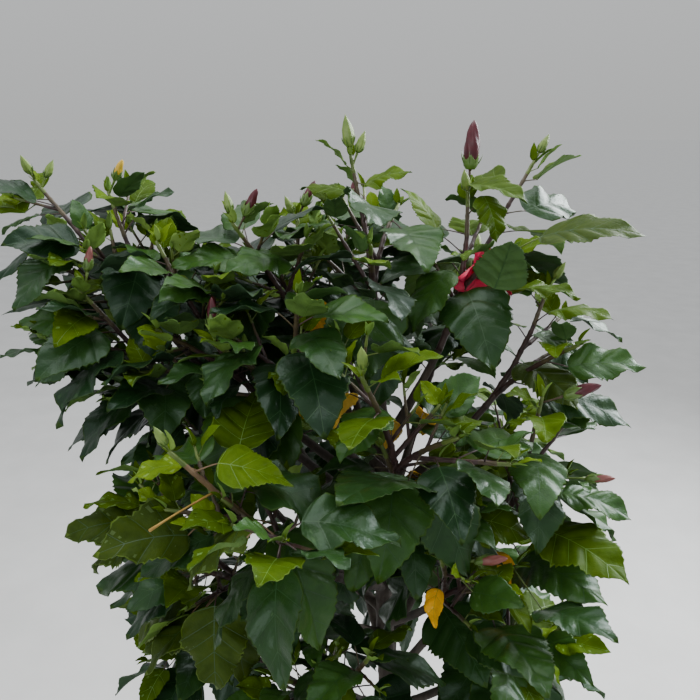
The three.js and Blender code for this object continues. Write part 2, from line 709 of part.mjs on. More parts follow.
function buildShrub() {
  const shrub = new THREE.Group();
  const container = new THREE.Group();
  const wood = new THREE.Group();
  const crown = new THREE.Group();
  shrub.add(container, wood, crown);
  container.add(named('pot', potGeometry(), finishes.clay), named('soil', soilGeometry(), finishes.soil));
  wood.add(named('trunk', geometryOf(trunkSolid()), finishes.bark));
  const plant = growPlant();
  let taken = trunkSolid(gap);
  for (const { name } of boughs) {
    const limb = plant.limbs.get(name);
    const solid = largest(limbSolid(limb, bough.sides).subtract(taken));
    wood.add(named(`bough_${name}`, geometryOf(solid), finishes.bark));
    const { v0, v1, v2 } = limb.curve;
    const wider = new Limb(v0, v1, v2, limb.thick + gap, limb.thin + gap, limb.steps);
    taken = taken.add(limbSolid(wider, bough.sides));
    crown.add(named(`foliage_${name}`, geometryOf(foliageSolid(name, plant)), finishes.foliage));
  }
  return shrub;
}

export default buildShrub();
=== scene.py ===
"""A potted hibiscus shrub: the finish of every surface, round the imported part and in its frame, in metres."""
import math

import bpy
import numpy as np
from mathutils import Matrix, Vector


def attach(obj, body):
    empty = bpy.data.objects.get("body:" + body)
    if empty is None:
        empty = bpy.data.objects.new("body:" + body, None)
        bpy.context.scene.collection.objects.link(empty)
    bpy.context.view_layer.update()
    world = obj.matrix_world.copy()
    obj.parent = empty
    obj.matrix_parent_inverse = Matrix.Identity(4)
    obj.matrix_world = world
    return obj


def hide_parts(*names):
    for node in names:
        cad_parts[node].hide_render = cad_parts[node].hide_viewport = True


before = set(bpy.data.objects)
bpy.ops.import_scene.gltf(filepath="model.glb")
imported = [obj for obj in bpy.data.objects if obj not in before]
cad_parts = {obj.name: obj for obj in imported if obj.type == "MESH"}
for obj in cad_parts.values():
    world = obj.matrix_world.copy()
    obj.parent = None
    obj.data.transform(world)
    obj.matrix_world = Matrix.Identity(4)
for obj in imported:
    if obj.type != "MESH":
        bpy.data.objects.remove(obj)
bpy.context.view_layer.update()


# The plant's rule, in millimetres: the same numbers and the same order of draws as in the part's source
SOIL_TOP = 250.0
FORK_HEIGHT = 1020.0
TRUNK = dict(foot_radius=14.0, fork_radius=9.0, flare=8.0, flare_fall=22.0, steps=10)
BOUGH = dict(foot_radius=6.4, tip_radius=4.4, steps=4, steepness=0.38, spread=0.55)
SHOOT = dict(lead_radius=4.0, side_radius=3.2, tip_radius=1.8, steps=4, pull=0.42, first=0.10, next=0.14)
TWIG = dict(foot_radius=2.6, tip_radius=1.6, steps=1, shortest=75.0, longest=105.0, first=0.34, next=0.26,
            vary=0.06, long_lead=190.0, along=0.6, out=0.8, up=0.3, aside=0.0, tries=4, clear=1.5, room=0.8)
ROOM = dict(leaf=1.2, shoot=0.8, bough=1.0, past=3.0)
SEED = 4127
# The seeds of what this script adds: finer growth, looks and soil
FINE_SEED, LOOK_SEED, SOIL_SEED = 77, 901, 313
# A four-sided rod's corners stand this far out for its sides to touch a round one
CORNER = math.sqrt(2)
# How many bodies the plant may have in all
MOST_BODIES = 8000
LEAF_SHAPE = dict(widest=0.38, half=0.56, lift=0.09, thick=0.011, crest=0.3)
LEAF_HOLD = dict(out=0.85, along=0.45, up=0.2, aside=0.15, last=0.94, lower=3.0)
SHOWN_SHAPE = dict(width=0.70, sag=0.7)
VARY = dict(turn=0.4, rise=36.0, roll=1.0, length=(0.88, 0.26), width=(0.54, 0.10), sag=(0.45, 0.55))

# name, height of the foot on the trunk, share of the sweep before the foliage, and the tips of its shoots
BOUGHS = [
    ("leader", 1020, 0.42, [(159, 55, 1345), (245, 75, 1262), (85, 90, 1285)]),
    ("right_high", 1008, 0.46, [(30, 98, 1305), (26, 186, 1336), (333, 128, 1250)]),
    ("right_mid", 930, 0.50, [(17, 200, 1190), (345, 205, 1150)]),
    ("right_low", 640, 0.62, [(337, 172, 1094), (335, 208, 1010)]),
    ("back_left", 975, 0.45, [(195, 180, 1280), (152, 130, 1274)]),
    ("left_high", 905, 0.52, [(173, 420, 1316), (176, 324, 1306), (184, 380, 1235)]),
    ("left_mid", 860, 0.55, [(190, 342, 1212), (180, 300, 1130)]),
    ("left_inner", 940, 0.48, [(186, 262, 1258), (202, 268, 1180)]),
    ("centre_left", 955, 0.45, [(212, 222, 1172), (232, 165, 1225)]),
    ("centre_front", 900, 0.50, [(258, 200, 1165), (285, 190, 1100)]),
    ("centre_mid", 820, 0.50, [(262, 150, 1075), (295, 140, 1040)]),
    ("front_left", 800, 0.55, [(229, 315, 1112), (252, 330, 1075)]),
    ("left_low", 720, 0.60, [(223, 292, 967), (205, 300, 1020)]),
    ("centre_low", 740, 0.50, [(283, 178, 962), (312, 190, 930)]),
    ("front_low", 610, 0.60, [(262, 230, 890), (240, 250, 850)]),
    ("right_skirt", 590, 0.60, [(318, 190, 830), (345, 215, 800)]),
    ("back_right", 885, 0.50, [(55, 215, 1200), (75, 250, 1120)]),
    ("back_high", 945, 0.48, [(105, 200, 1260), (125, 240, 1190)]),
    ("back_far_left", 840, 0.55, [(150, 320, 1210), (140, 300, 1110)]),
    ("back_low_right", 690, 0.55, [(40, 255, 985), (65, 265, 920)]),
    ("back_low", 660, 0.55, [(100, 290, 1010), (118, 280, 930)]),
    ("back_low_left", 760, 0.58, [(165, 310, 1040), (148, 300, 960)]),
    ("left_skirt", 560, 0.58, [(188, 290, 880), (200, 270, 800)]),
    ("front_skirt", 525, 0.58, [(275, 235, 760), (300, 225, 735)]),
    ("back_skirt", 505, 0.58, [(85, 240, 780), (130, 245, 760), (20, 225, 790)]),
]

# Buds by bough: shoot, distance from its tip, bearing and rise of the stalk, stalk length, bud length, tint
BUDS = {
    "leader": [(0, 2, 180, 82, 12, 34, "green"), (0, 10, 10, 70, 16, 24, "green")],
    "right_high": [(0, 2, 60, 84, 26, 46, "red"), (0, 14, 240, 68, 18, 26, "green"),
                   (1, 2, 20, 60, 14, 24, "green")],
    "right_mid": [(0, 2, 330, 62, 14, 24, "green")],
    "right_low": [(0, 6, 345, 24, 26, 34, "red"), (1, 6, 340, 10, 24, 30, "pink")],
    "back_left": [(0, 2, 150, 74, 14, 22, "green"), (0, 8, 350, 62, 18, 26, "red"),
                  (1, 2, 30, 60, 16, 28, "red"), (1, 8, 200, 66, 14, 22, "green")],
    "left_high": [(0, 2, 250, 60, 12, 24, "green"), (0, 10, 20, 62, 14, 22, "green"),
                  (1, 2, 330, 55, 20, 26, "yellow")],
    "left_mid": [(0, 6, 40, 76, 26, 26, "pink")],
    "centre_left": [(0, 2, 100, 78, 14, 28, "red")],
    "centre_front": [(0, 4, 260, 70, 14, 24, "green")],
    "front_left": [(0, 2, 200, 66, 10, 20, "green")],
    "centre_low": [(0, 12, 350, 12, 34, 32, "pink")],
    "back_right": [(0, 2, 80, 66, 16, 26, "green")],
    "back_high": [(0, 2, 60, 72, 18, 30, "red")],
    "back_far_left": [(0, 4, 150, 70, 18, 28, "pink")],
    "back_low": [(0, 2, 100, 60, 14, 24, "green")],
}

BLOOM = dict(bough="right_high", shoot=2, along=80, stalk_bearing=75, stalk_rise=20, bearing=290, rise=-15,
             stalk=38.0, petal=58.0, breadth=0.8, petals=5, opening=40.0, twist=16.0, column=62.0)

# Leaves that the photo shows plainly: bough, shoot, place on it, the blade's bearing, rise, roll and
# length, the stalk's length and rise, and the tint
# In the tint, lit is painted light and dark is painted shade on the leaf's green
SHOWN = [
    ("right_high", 2, 0, 332, 12, 20, 102, 40, 33, "olive"),
    ("right_high", 2, 2, 336, 0, -10, 60, 8, 67, "mid"),
    ("right_mid", 0, 3, 331, -16, 0, 80, 13, 51, "mid"),
    ("right_mid", 0, 4, 303, -11, 0, 94, 10, 9, "olive"),
    ("right_high", 2, 3, 339, 6, 0, 78, 44, -16, "lit"),
    ("right_low", 1, 3, 307, 3, 0, 110, 35, -22, "lit"),
    ("right_low", 1, 1, 338, -5, 0, 80, 14, -14, "mid"),
    ("right_low", 0, 6, 303, 13, 10, 119, 43, -39, "mid"),
    ("centre_low", 1, 0, 308, 19, 0, 90, 50, -35, "dark"),
    ("front_left", 0, 5, 313, -53, 0, 118, 19, 39, "mid"),
    ("front_left", 0, 1, 359, -13, 25, 72, 24, 23, "fresh"),
    ("front_left", 0, 3, 82, 29, 0, 82, 49, 45, "lit"),
    ("left_low", 1, 3, 175, -33, 0, 113, 32, 31, "olive"),
    ("centre_front", 1, 2, 235, 23, 0, 122, 36, -40, "dark"),
    ("centre_low", 0, 4, 185, -63, 0, 94, 41, 32, "dark"),
    ("leader", 0, 2, 167, 9, -15, 57, 18, 33, "lit"),
    ("leader", 0, 1, 346, 23, 10, 57, 10, -21, "fresh"),
    ("left_inner", 1, 3, 272, -47, 0, 53, 28, -8, "dark"),
    ("back_left", 0, 4, 234, -49, 0, 78, 36, 4, "dark"),
    ("left_low", 0, 3, 271, -69, 0, 92, 40, -13, "olive"),
    ("left_high", 2, 2, 233, -27, 0, 84, 41, 50, "dark"),
    ("left_high", 0, 2, 190, -18, 0, 50, 26, -2, "mid"),
    ("right_high", 0, 0, 324, -6, 0, 75, 13, 79, "lit"),
    ("right_high", 0, 1, 299, -53, 0, 57, 37, 43, "lit"),
    ("right_high", 0, 2, 155, 51, 0, 68, 36, 6, "fresh"),
    ("leader", 2, 1, 285, -13, 0, 96, 39, -8, "mid"),
    ("centre_low", 0, 5, 295, -17, 15, 101, 9, -15, "dark"),
    ("centre_low", 1, 2, 289, 7, 0, 103, 50, -40, "mid"),
    ("centre_front", 0, 3, 231, -22, 0, 70, 24, 71, "mid"),
]

UP = np.array([0.0, 0.0, 1.0])
LEVEL = np.array([1.0, 0.0, 0.0])
ASIDE = np.array([0.0, 1.0, 0.0])
LEAD_AGES = [0, 2, 3.3, 4.6, 5.9, 7.2, 8.5, 9.8]
TWIG_AGES = [1, 3, 5]


class Draw:
    """Numbers from 0 to 1 in a fixed order, from one seed."""

    def __init__(self, start):
        self.state = start

    def number(self):
        self.state = self.state * 48271 % 2147483647
        return self.state / 2147483647

    def between(self, low, high):
        return low + (high - low) * self.number()


def unit(v):
    return v / math.sqrt(v @ v)


def cross(a, b):
    return np.array([a[1] * b[2] - a[2] * b[1], a[2] * b[0] - a[0] * b[2], a[0] * b[1] - a[1] * b[0]])


def place(bearing, reach, height):
    turn = math.radians(bearing)
    return np.array([reach * math.cos(turn), reach * math.sin(turn), float(height)])


def heading(bearing, rise):
    return place(bearing, math.cos(math.radians(rise)), math.sin(math.radians(rise)))


def trunk_share(height):
    return (height - SOIL_TOP) / (FORK_HEIGHT - SOIL_TOP)


def trunk_axis(height):
    s = trunk_share(height)
    return np.array([10 * math.sin(5.5 * s) * s - 4 * s, 8 * math.sin(4.2 * s), height])


def trunk_radius(height):
    s = trunk_share(height)
    taper = TRUNK["foot_radius"] + (TRUNK["fork_radius"] - TRUNK["foot_radius"]) * s
    return taper + TRUNK["flare"] * math.exp(-TRUNK["flare_fall"] * s)


class Limb:
    """One tapering limb of straight steps along a curve, from a start by a pull to an end."""

    def __init__(self, start, pull, end, thick, thin, steps):
        self.start, self.pull, self.end = start, pull, end
        self.thick, self.thin, self.steps = thick, thin, steps
        chord = end - start
        lean = UP if abs(chord[2]) < 0.9 * math.sqrt(chord @ chord) else LEVEL
        self.side = unit(cross(chord, lean))
        points = [self.curve(i / 8) for i in range(9)]
        self.length = sum(math.sqrt((b - a) @ (b - a)) for a, b in zip(points, points[1:]))
        self.knots = [self.curve(i / steps) for i in range(steps + 1)]

    def curve(self, t):
        return self.start * (1 - t) ** 2 + self.pull * (2 * (1 - t) * t) + self.end * t ** 2

    def spot(self, t):
        step = min(math.floor(t * self.steps), self.steps - 1)
        return self.knots[step] + (self.knots[step + 1] - self.knots[step]) * (t * self.steps - step)

    def way(self, t):
        return unit(self.start * (t - 1) + self.pull * (1 - 2 * t) + self.end * t)

    def radius(self, t):
        return self.thick + (self.thin - self.thick) * t

    def across(self, t, turn):
        """A direction square to the limb, turned about it."""
        way = self.way(t)
        first = unit(self.side - way * (self.side @ way))
        return first * math.cos(turn) + cross(way, first) * math.sin(turn)


def bough_limb(foot, share, tips):
    start = trunk_axis(foot)
    goal = sum(place(*tip) for tip in tips) / len(tips)
    pull = start + (goal - start) * np.array([BOUGH["spread"], BOUGH["spread"], BOUGH["steepness"]])
    middle = start * (1 - share) + pull * share
    end = start * (1 - share) ** 2 + pull * (2 * (1 - share) * share) + goal * share ** 2
    return Limb(start, middle, end, BOUGH["foot_radius"], BOUGH["tip_radius"], BOUGH["steps"])


def ripe(age):
    return math.sin(min(1.0, age / 6.5) * math.pi / 2)


def leaf_gap(age):
    return 5.6 + 7.2 * age + 1.35 * age * age


def leaf_length(age):
    return 24 + 76 * ripe(age)


def leaf_stalk(age):
    return 6 + 28 * ripe(age)


def leaf_rise(age, height):
    return 72 - 112 * (1 - math.exp(-age / 3.6)) - 0.05 * max(0.0, 1200 - height)


def face_turn(spin, order):
    """What grows on a limb leaves it on the next third of its girth each time, a little aside."""
    third = math.floor(spin * 3)
    return math.pi / 2 + (third + order) * (2 * math.pi / 3) + (spin * 3 - third - 0.5)


class Leaf:
    """A leaf: its root in the stem, a stalk along out, and a blade that arches over and hangs by its sag."""

    def __init__(self, root, out, held, length, width, stalk, sag, age=6.0, owner=""):
        self.root, self.out = root, out
        self.blade, self.normal = held
        self.length, self.width, self.stalk, self.sag = length, width, stalk, sag
        self.age, self.owner = age, owner
        self.side = cross(self.normal, self.blade)
        self.foot = root + out * stalk

    def spine(self, s):
        k = self.sag
        bend = k * LEAF_SHAPE["crest"]
        along = (math.sin(k * s - bend) + math.sin(bend)) / k
        down = (math.cos(bend) - math.cos(k * s - bend)) / k
        return self.foot + (self.blade * along - self.normal * down) * self.length

    def corners(self, grow=0.0):
        middle = self.spine(LEAF_SHAPE["widest"])
        half = LEAF_SHAPE["half"] * self.width + grow
        lift = self.normal * (LEAF_SHAPE["lift"] * self.width)
        end = self.spine(1.0)
        thick = LEAF_SHAPE["thick"] * (self.length + self.stalk) + grow
        tip = end + unit(end - middle) * grow
        return np.array([self.root, middle + self.side * half + lift, middle - self.side * half + lift,
                         tip, middle + self.normal * thick, middle - self.normal * thick])


def held(flat, rise, roll):
    """The way a blade points and the way its face looks, from a level heading, a rise and a roll."""
    blade = flat * math.cos(rise) + UP * math.sin(rise)
    face = UP * math.cos(rise) - flat * math.sin(rise)
    return blade, face * math.cos(roll) + cross(blade, face) * math.sin(roll)


LEAF_FACES = np.array([(0, 2, 4), (2, 3, 4), (3, 1, 4), (1, 0, 4),
                       (0, 5, 2), (2, 5, 3), (3, 5, 1), (1, 5, 0)])
ROD_FACES = np.array([(0, 1, 5), (0, 5, 4), (1, 2, 6), (1, 6, 5), (2, 3, 7), (2, 7, 6), (3, 0, 4), (3, 4, 7),
                      (0, 2, 1), (0, 3, 2), (4, 5, 6), (4, 6, 7)])


def edges_of(faces):
    found = {tuple(sorted((int(f[i]), int(f[(i + 1) % 3])))): None for f in faces for i in range(3)}
    return np.array(list(found))


EDGES = {len(faces): edges_of(faces) for faces in (LEAF_FACES, ROD_FACES)}


def rod_corners(a, b, radius_a, radius_b):
    way = unit(b - a)
    e = unit(cross(way, UP if abs(way[2]) < 0.9 else LEVEL))
    f = cross(way, e)
    return np.array([a + d * radius_a for d in (e, f, -e, -f)] + [b + d * radius_b for d in (e, f, -e, -f)])


def pierces(edges, faces):
    """Whether any of the edges passes through any of the faces."""
    p, d = edges[:, 0], edges[:, 1] - edges[:, 0]
    a, e1, e2 = faces[:, 0], faces[:, 1] - faces[:, 0], faces[:, 2] - faces[:, 0]
    h = np.cross(d[:, None], e2[None])
    det = (e1[None] * h).sum(-1)
    det = np.where(np.abs(det) < 1e-12, 1e-12, det)
    s = p[:, None] - a[None]
    u = (s * h).sum(-1) / det
    q = np.cross(s, e1[None])
    v = (d[:, None] * q).sum(-1) / det
    t = (e2[None] * q).sum(-1) / det
    return bool(((u >= 0) & (v >= 0) & (u + v <= 1) & (t >= 0) & (t <= 1)).any())


class Space:
    """What is already grown. Whatever comes next may not pass through it."""

    def __init__(self):
        self.bodies, self.low, self.high = [], np.zeros((MOST_BODIES, 3)), np.zeros((MOST_BODIES, 3))

    def add(self, points, faces, owner):
        k = len(self.bodies)
        self.bodies.append((points[EDGES[len(faces)]], points[faces], owner))
        self.low[k], self.high[k] = points.min(0), points.max(0)

    def clear(self, points, faces, skip=None):
        k = len(self.bodies)
        near = np.nonzero(((self.low[:k] <= points.max(0)) & (self.high[:k] >= points.min(0))).all(1))[0]
        edges, sides = points[EDGES[len(faces)]], points[faces]
        for i in near:
            other_edges, other_sides, owner = self.bodies[i]
            if owner != skip and (pierces(edges, other_sides) or pierces(other_edges, sides)):
                return False
        return True

    def rods(self, limb, swell):
        spots = [i / limb.steps for i in range(limb.steps + 1)]
        ends = [(limb.spot(t), limb.radius(t) * CORNER + swell) for t in spots]
        return [rod_corners(a, b, ra, rb) for (a, ra), (b, rb) in zip(ends, ends[1:])]

    def add_limb(self, limb, owner, swell):
        for rod in self.rods(limb, swell):
            self.add(rod, ROD_FACES, owner)

    def clear_limb(self, limb, skip, swell):
        return all(self.clear(rod, ROD_FACES, skip) for rod in self.rods(limb, swell))


def grow_shoots(space, draw):
    for i in range(TRUNK["steps"]):
        a, b = (SOIL_TOP + (FORK_HEIGHT - SOIL_TOP) * k / TRUNK["steps"] for k in (i, i + 1))
        radii = [trunk_radius(height) * CORNER for height in (a, b)]
        space.add(rod_corners(trunk_axis(a), trunk_axis(b), *radii), ROD_FACES, "trunk")
    limbs, shoots = {}, []
    for name, foot, share, tips in BOUGHS:
        limb = limbs[name] = bough_limb(foot, share, tips)
        space.add_limb(limb, name, ROOM["bough"])
        lead = None
        for order, tip in enumerate(tips):
            end = place(*tip)
            t = SHOOT["first"] + SHOOT["next"] * order
            start = limb.spot(1.0) if lead is None else lead.spot(t)
            ahead = limb.way(1.0) if lead is None else unit(lead.way(t) + unit(end - start))
            gap = end - start
            pull = start + ahead * (math.sqrt(gap @ gap) * SHOOT["pull"])
            thick = SHOOT["lead_radius"] if lead is None else SHOOT["side_radius"]
            shoot = Limb(start, pull, end, thick, SHOOT["tip_radius"], SHOOT["steps"])
            lead = lead or shoot
            shoots.append((name, shoot, order, draw.number()))
            space.add_limb(shoot, name, ROOM["shoot"])
    return limbs, shoots


def grow_twig(space, name, lead, t, long, spin, form):
    """A twig or spur on a limb, turned on where it would pass through something, and at last left out."""
    for attempt in range(form["tries"]):
        out = lead.across(t, face_turn(spin, attempt) + form["aside"])
        start = lead.spot(t)
        way = unit(lead.way(t) * form["along"] + out * form["out"] + UP * form["up"])
        limb = Limb(start, start + way * (long * 0.5), start + way * long,
                    form["foot_radius"], form["tip_radius"], form["steps"])
        if space.clear_limb(limb, name, form["clear"]):
            space.add_limb(limb, name, form["room"])
            return limb
    return None


def grow_twigs(space, draw, shoots):
    for name, lead, order, _ in list(shoots):
        for j in range(2 if lead.length > TWIG["long_lead"] and order == 0 else 1):
            spin = draw.number()
            long = draw.between(TWIG["shortest"], TWIG["longest"])
            t = TWIG["first"] + TWIG["next"] * j + draw.between(-TWIG["vary"], TWIG["vary"])
            turn = draw.number()
            limb = grow_twig(space, name, lead, t, long, spin, TWIG)
            if limb is not None:
                shoots.append((name, limb, -1, turn))


def grow_buds(space, leads):
    grown = []
    for name, rows in BUDS.items():
        for order, along, bearing, rise, stalk, long, tint in rows:
            limb = leads[name][order]
            root = limb.spot(1 - along / limb.length)
            way = heading(bearing, rise)
            rod = rod_corners(root + way * 4, root + way * (stalk + long), 3.0, 6.0)
            if space.clear(rod, ROD_FACES, name):
                grown.append((root, way, stalk, long, tint))
                space.add(rod, ROD_FACES, name + " bud")
    return grown


def grow_bloom(space, leads):
    limb = leads[BLOOM["bough"]][BLOOM["shoot"]]
    root = limb.spot(1 - BLOOM["along"] / limb.length)
    throat = root + heading(BLOOM["stalk_bearing"], BLOOM["stalk_rise"]) * BLOOM["stalk"]
    axis = heading(BLOOM["bearing"], BLOOM["rise"])
    e = unit(cross(axis, UP))
    f = cross(axis, e)
    opening, twist = math.radians(BLOOM["opening"]), math.radians(BLOOM["twist"])
    breadth = BLOOM["breadth"] * BLOOM["petal"]
    petals = []
    for i in range(BLOOM["petals"]):
        turn = 2 * math.pi * i / BLOOM["petals"]
        away = e * math.cos(turn) + f * math.sin(turn)
        blade = axis * math.cos(opening) + away * math.sin(opening)
        face = axis * math.sin(opening) - away * math.cos(opening)
        normal = face * math.cos(twist) + cross(blade, face) * math.sin(twist)
        petals.append(Leaf(throat, axis, (blade, normal), BLOOM["petal"], breadth, 3, 0.9))
    column = throat + axis * BLOOM["column"]
    for petal in petals:
        space.add(petal.corners(ROOM["leaf"]), LEAF_FACES, BLOOM["bough"] + " bloom")
    space.add(rod_corners(throat, column, 3, 3), ROD_FACES, BLOOM["bough"] + " bloom")
    return root, throat, column, petals


def pick(least_and_range, share):
    return least_and_range[0] + least_and_range[1] * share


def grow_leaf(space, name, limb, turn, order, age, wobble):
    """One leaf on a shoot, turned and lowered where it would pass through something, and at last left out."""
    t = 1 - leaf_gap(age) / limb.length
    root = limb.spot(t)
    for attempt in range(9):
        shift = (0, 0.3, -0.3)[attempt // 3] + (wobble[0] - 0.5) * VARY["turn"]
        spin = face_turn(turn, order + attempt) + shift
        hold = LEAF_HOLD
        out = unit(limb.across(t, spin) * hold["out"] + limb.way(t) * hold["along"] + UP * hold["up"])
        flat = unit(np.array([out[0], out[1], 0.0]) + place(math.degrees(spin), hold["aside"], 0))
        rise = leaf_rise(age, root[2]) + (wobble[1] - 0.5) * VARY["rise"] - attempt * hold["lower"]
        length = leaf_length(age) * pick(VARY["length"], wobble[3])
        width = length * pick(VARY["width"], wobble[5])
        way = held(flat, math.radians(rise), (wobble[2] - 0.5) * VARY["roll"])
        leaf = Leaf(root, out, way, length, width, leaf_stalk(age), pick(VARY["sag"], wobble[4]), age, name)
        full, outside = leaf_room(leaf, limb.radius(t))
        if space.clear(full, LEAF_FACES, name) and space.clear(outside, LEAF_FACES):
            space.add(outside, LEAF_FACES, name + " leaf")
            return leaf
    return None


def leaf_room(leaf, thick):
    """The room that a leaf takes, with and without the part of its stalk that is in the stem."""
    full = leaf.corners(ROOM["leaf"])
    outside = full.copy()
    outside[0] += leaf.out * (thick * CORNER + ROOM["past"])
    return full, outside


def shown_leaf(limb, t, age, row):
    """A leaf that the photo shows plainly, at a share of its limb."""
    name, _, _, bearing, rise, roll, length, stalk, stalk_rise, _ = row
    way = held(place(bearing, 1, 0), math.radians(rise), math.radians(roll))
    width, sag = SHOWN_SHAPE["width"] * length, SHOWN_SHAPE["sag"]
    return Leaf(limb.spot(t), heading(bearing, stalk_rise), way, length, width, stalk, sag, age, name)


def grow_shown(space, leads):
    """The leaves that the photo shows plainly go first."""
    grown = {}
    for row in SHOWN:
        name, order, place_on = row[:3]
        limb, age = leads[name][order], LEAD_AGES[place_on]
        t = 1 - leaf_gap(age) / limb.length
        leaf = shown_leaf(limb, t, age, row)
        full, outside = leaf_room(leaf, limb.radius(t))
        if space.clear(full, LEAF_FACES, name):
            space.add(outside, LEAF_FACES, name + " leaf")
            grown[row[:3]] = leaf
    return grown


def grow_leaves(space, draw, shoots, shown, crowned):
    """A leaf that shows plainly keeps its place. Side shoots and budded ones have no other at their tips."""
    leaves = []
    for name, limb, order, turn in shoots:
        for place_on, age in enumerate(LEAD_AGES if order >= 0 else TWIG_AGES):
            leaf = shown.get((name, order, place_on))
            bare = place_on == 0 and (order > 0 or (name, order) in crowned)
            if leaf is None and not bare and leaf_gap(age) < limb.length * LEAF_HOLD["last"]:
                leaf = grow_leaf(space, name, limb, turn, place_on, age, [draw.number() for _ in range(6)])
            if leaf is not None:
                leaves.append(leaf)
    return leaves


# Finer growth within the same reach: leaves between the leaves, and short spurs where older leaves stand
BETWEEN_LEAD = [1.0, 2.65, 3.95, 5.25, 6.55, 7.85]
BETWEEN_TWIG = [2.0, 4.0]
SPUR = dict(foot_radius=1.8, tip_radius=1.1, steps=1, along=0.55, out=0.8, up=0.35, aside=0.4, tries=3,
            clear=0.8, room=0.6, shortest=34.0, longest=62.0, below=5.0, lowest=0.12,
            lead_ages=(3.3, 5.9, 8.5), twig_ages=(4.0,), ages=(0.5, 1.9, 2.9))
# Masses so airy in the photo that they get no spurs, and few leaves between their leaves
AIRY = ("right_low", "right_mid", "right_high", "leader")

# The photo's standpoint
EYE = np.array([-52.0, -780.0, 1380.0])
EYE_TILT = math.radians(18)
EYE_WAY = np.array([0.0, math.cos(EYE_TILT), -math.sin(EYE_TILT)])
EYE_UP = np.array([0.0, math.sin(EYE_TILT), math.cos(EYE_TILT)])

# Spots of a leaf, by shares of its length and width: those that have to stay in view, and those round its rim
SEEN_SPOTS = [(0.0, 0.0), (0.25, 0.0), (0.5, 0.0), (0.75, 0.0), (0.95, 0.0), (0.25, 0.38), (0.25, -0.38),
              (0.5, 0.38), (0.5, -0.38), (0.75, 0.2), (0.75, -0.2)]
RIM_SPOTS = [(0.0, 0.0), (0.2, 0.4), (0.2, -0.4), (0.45, 0.45), (0.45, -0.45), (0.75, 0.25), (0.75, -0.25),
             (1.0, 0.0)]

# One more leaf that the photo shows plainly, in front of the bloom. Its place is a share of the shoot, and
# the rest is as in SHOWN.
PAST_BLOOM = ("right_high", 2, 0.507, 283, 59, -35, 75, 46, -12, "mid")
PAST_BLOOM_AGE = 4.0


def seen(point):
    """Where a point is in the photo, and how far off."""
    way = point - EYE
    depth = way @ EYE_WAY
    return np.array([way[0] / depth, way @ EYE_UP / depth, depth])


def seen_leaf(leaf, spots):
    return np.array([seen(leaf.spine(s) + leaf.side * leaf.width * d) for s, d in spots])


def plain_view(leaves, stems):
    """What the photo shows plainly, as groups of points. Finer growth keeps clear of them."""
    halves = (np.linspace(0, 0.48, 6), np.linspace(0.52, 1, 6))
    groups = [np.array([seen(stem.spot(t)) for t in half]) for stem in stems for half in halves]
    return groups + [seen_leaf(leaf, SEEN_SPOTS) for leaf in leaves]


def open_past(view, leaf):
    """Whether a leaf hides nothing that the photo shows plainly."""
    ring = seen_leaf(leaf, RIM_SPOTS)
    ring = ring[np.argsort(np.arctan2(*(ring[:, :2] - ring[:, :2].mean(0)).T))]
    a, b = ring[:, :2], np.roll(ring[:, :2], -1, 0)
    way = (b - a)[None]
    for points in view:
        if points[:, 2].mean() < ring[:, 2].mean():
            continue
        gap = points[:, None, :2] - a[None]
        turn = way[..., 0] * gap[..., 1] - way[..., 1] * gap[..., 0]
        if ((turn > 0).all(1) | (turn < 0).all(1)).any():
            return False
    return True


def grow_past_bloom(space, leads):
    name, order, t = PAST_BLOOM[:3]
    limb = leads[name][order]
    leaf = shown_leaf(limb, t, PAST_BLOOM_AGE, PAST_BLOOM)
    space.add(leaf_room(leaf, limb.radius(t))[1], LEAF_FACES, name + " leaf")
    return leaf


def grow_fine_leaf(space, draw, view, shoot, order, age, wanted=True):
    """A list with one finer leaf, or an empty one where it would be in the way. The draws are the same."""
    name, limb, _, turn = shoot
    wobble = [draw.number() for _ in range(6)]
    if not wanted or leaf_gap(age) >= limb.length * LEAF_HOLD["last"]:
        return []
    kept = len(space.bodies)
    leaf = grow_leaf(space, name, limb, turn, order, age, wobble)
    if leaf is not None and open_past(view, leaf):
        return [leaf]
    del space.bodies[kept:]
    return []


def grow_between(space, draw, shoots, view):
    grown = []
    for shoot in shoots:
        for k, age in enumerate(BETWEEN_LEAD if shoot[2] >= 0 else BETWEEN_TWIG):
            wanted = age < 2 or shoot[0] not in AIRY
            grown += grow_fine_leaf(space, draw, view, shoot, k + 0.5, age, wanted)
    return grown


def grow_spurs(space, draw, shoots, view):
    spurs, grown = [], []
    for name, lead, order, _ in shoots:
        for age in SPUR["lead_ages"] if order >= 0 else SPUR["twig_ages"]:
            long, spin = draw.between(SPUR["shortest"], SPUR["longest"]), draw.number()
            t = 1 - (leaf_gap(age) - SPUR["below"]) / lead.length
            if t < SPUR["lowest"] or name in AIRY:
                continue
            limb = grow_twig(space, name, lead, t, long, spin, SPUR)
            if limb is None:
                continue
            spurs.append((name, limb, -2, spin))
            for place_on, young in enumerate(SPUR["ages"]):
                grown += grow_fine_leaf(space, draw, view, spurs[-1], place_on, young)
    return spurs, grown


# Meshes: small things are gathered by kind and joined into pieces that stay under a limit of triangles
PIECE_LIMIT = 185000
MM = 0.001


def nodes_named(start):
    return sorted(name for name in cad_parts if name.startswith(start))


def put(name, data):
    made = bpy.data.objects.new(name, data)
    bpy.context.scene.collection.objects.link(made)
    return made


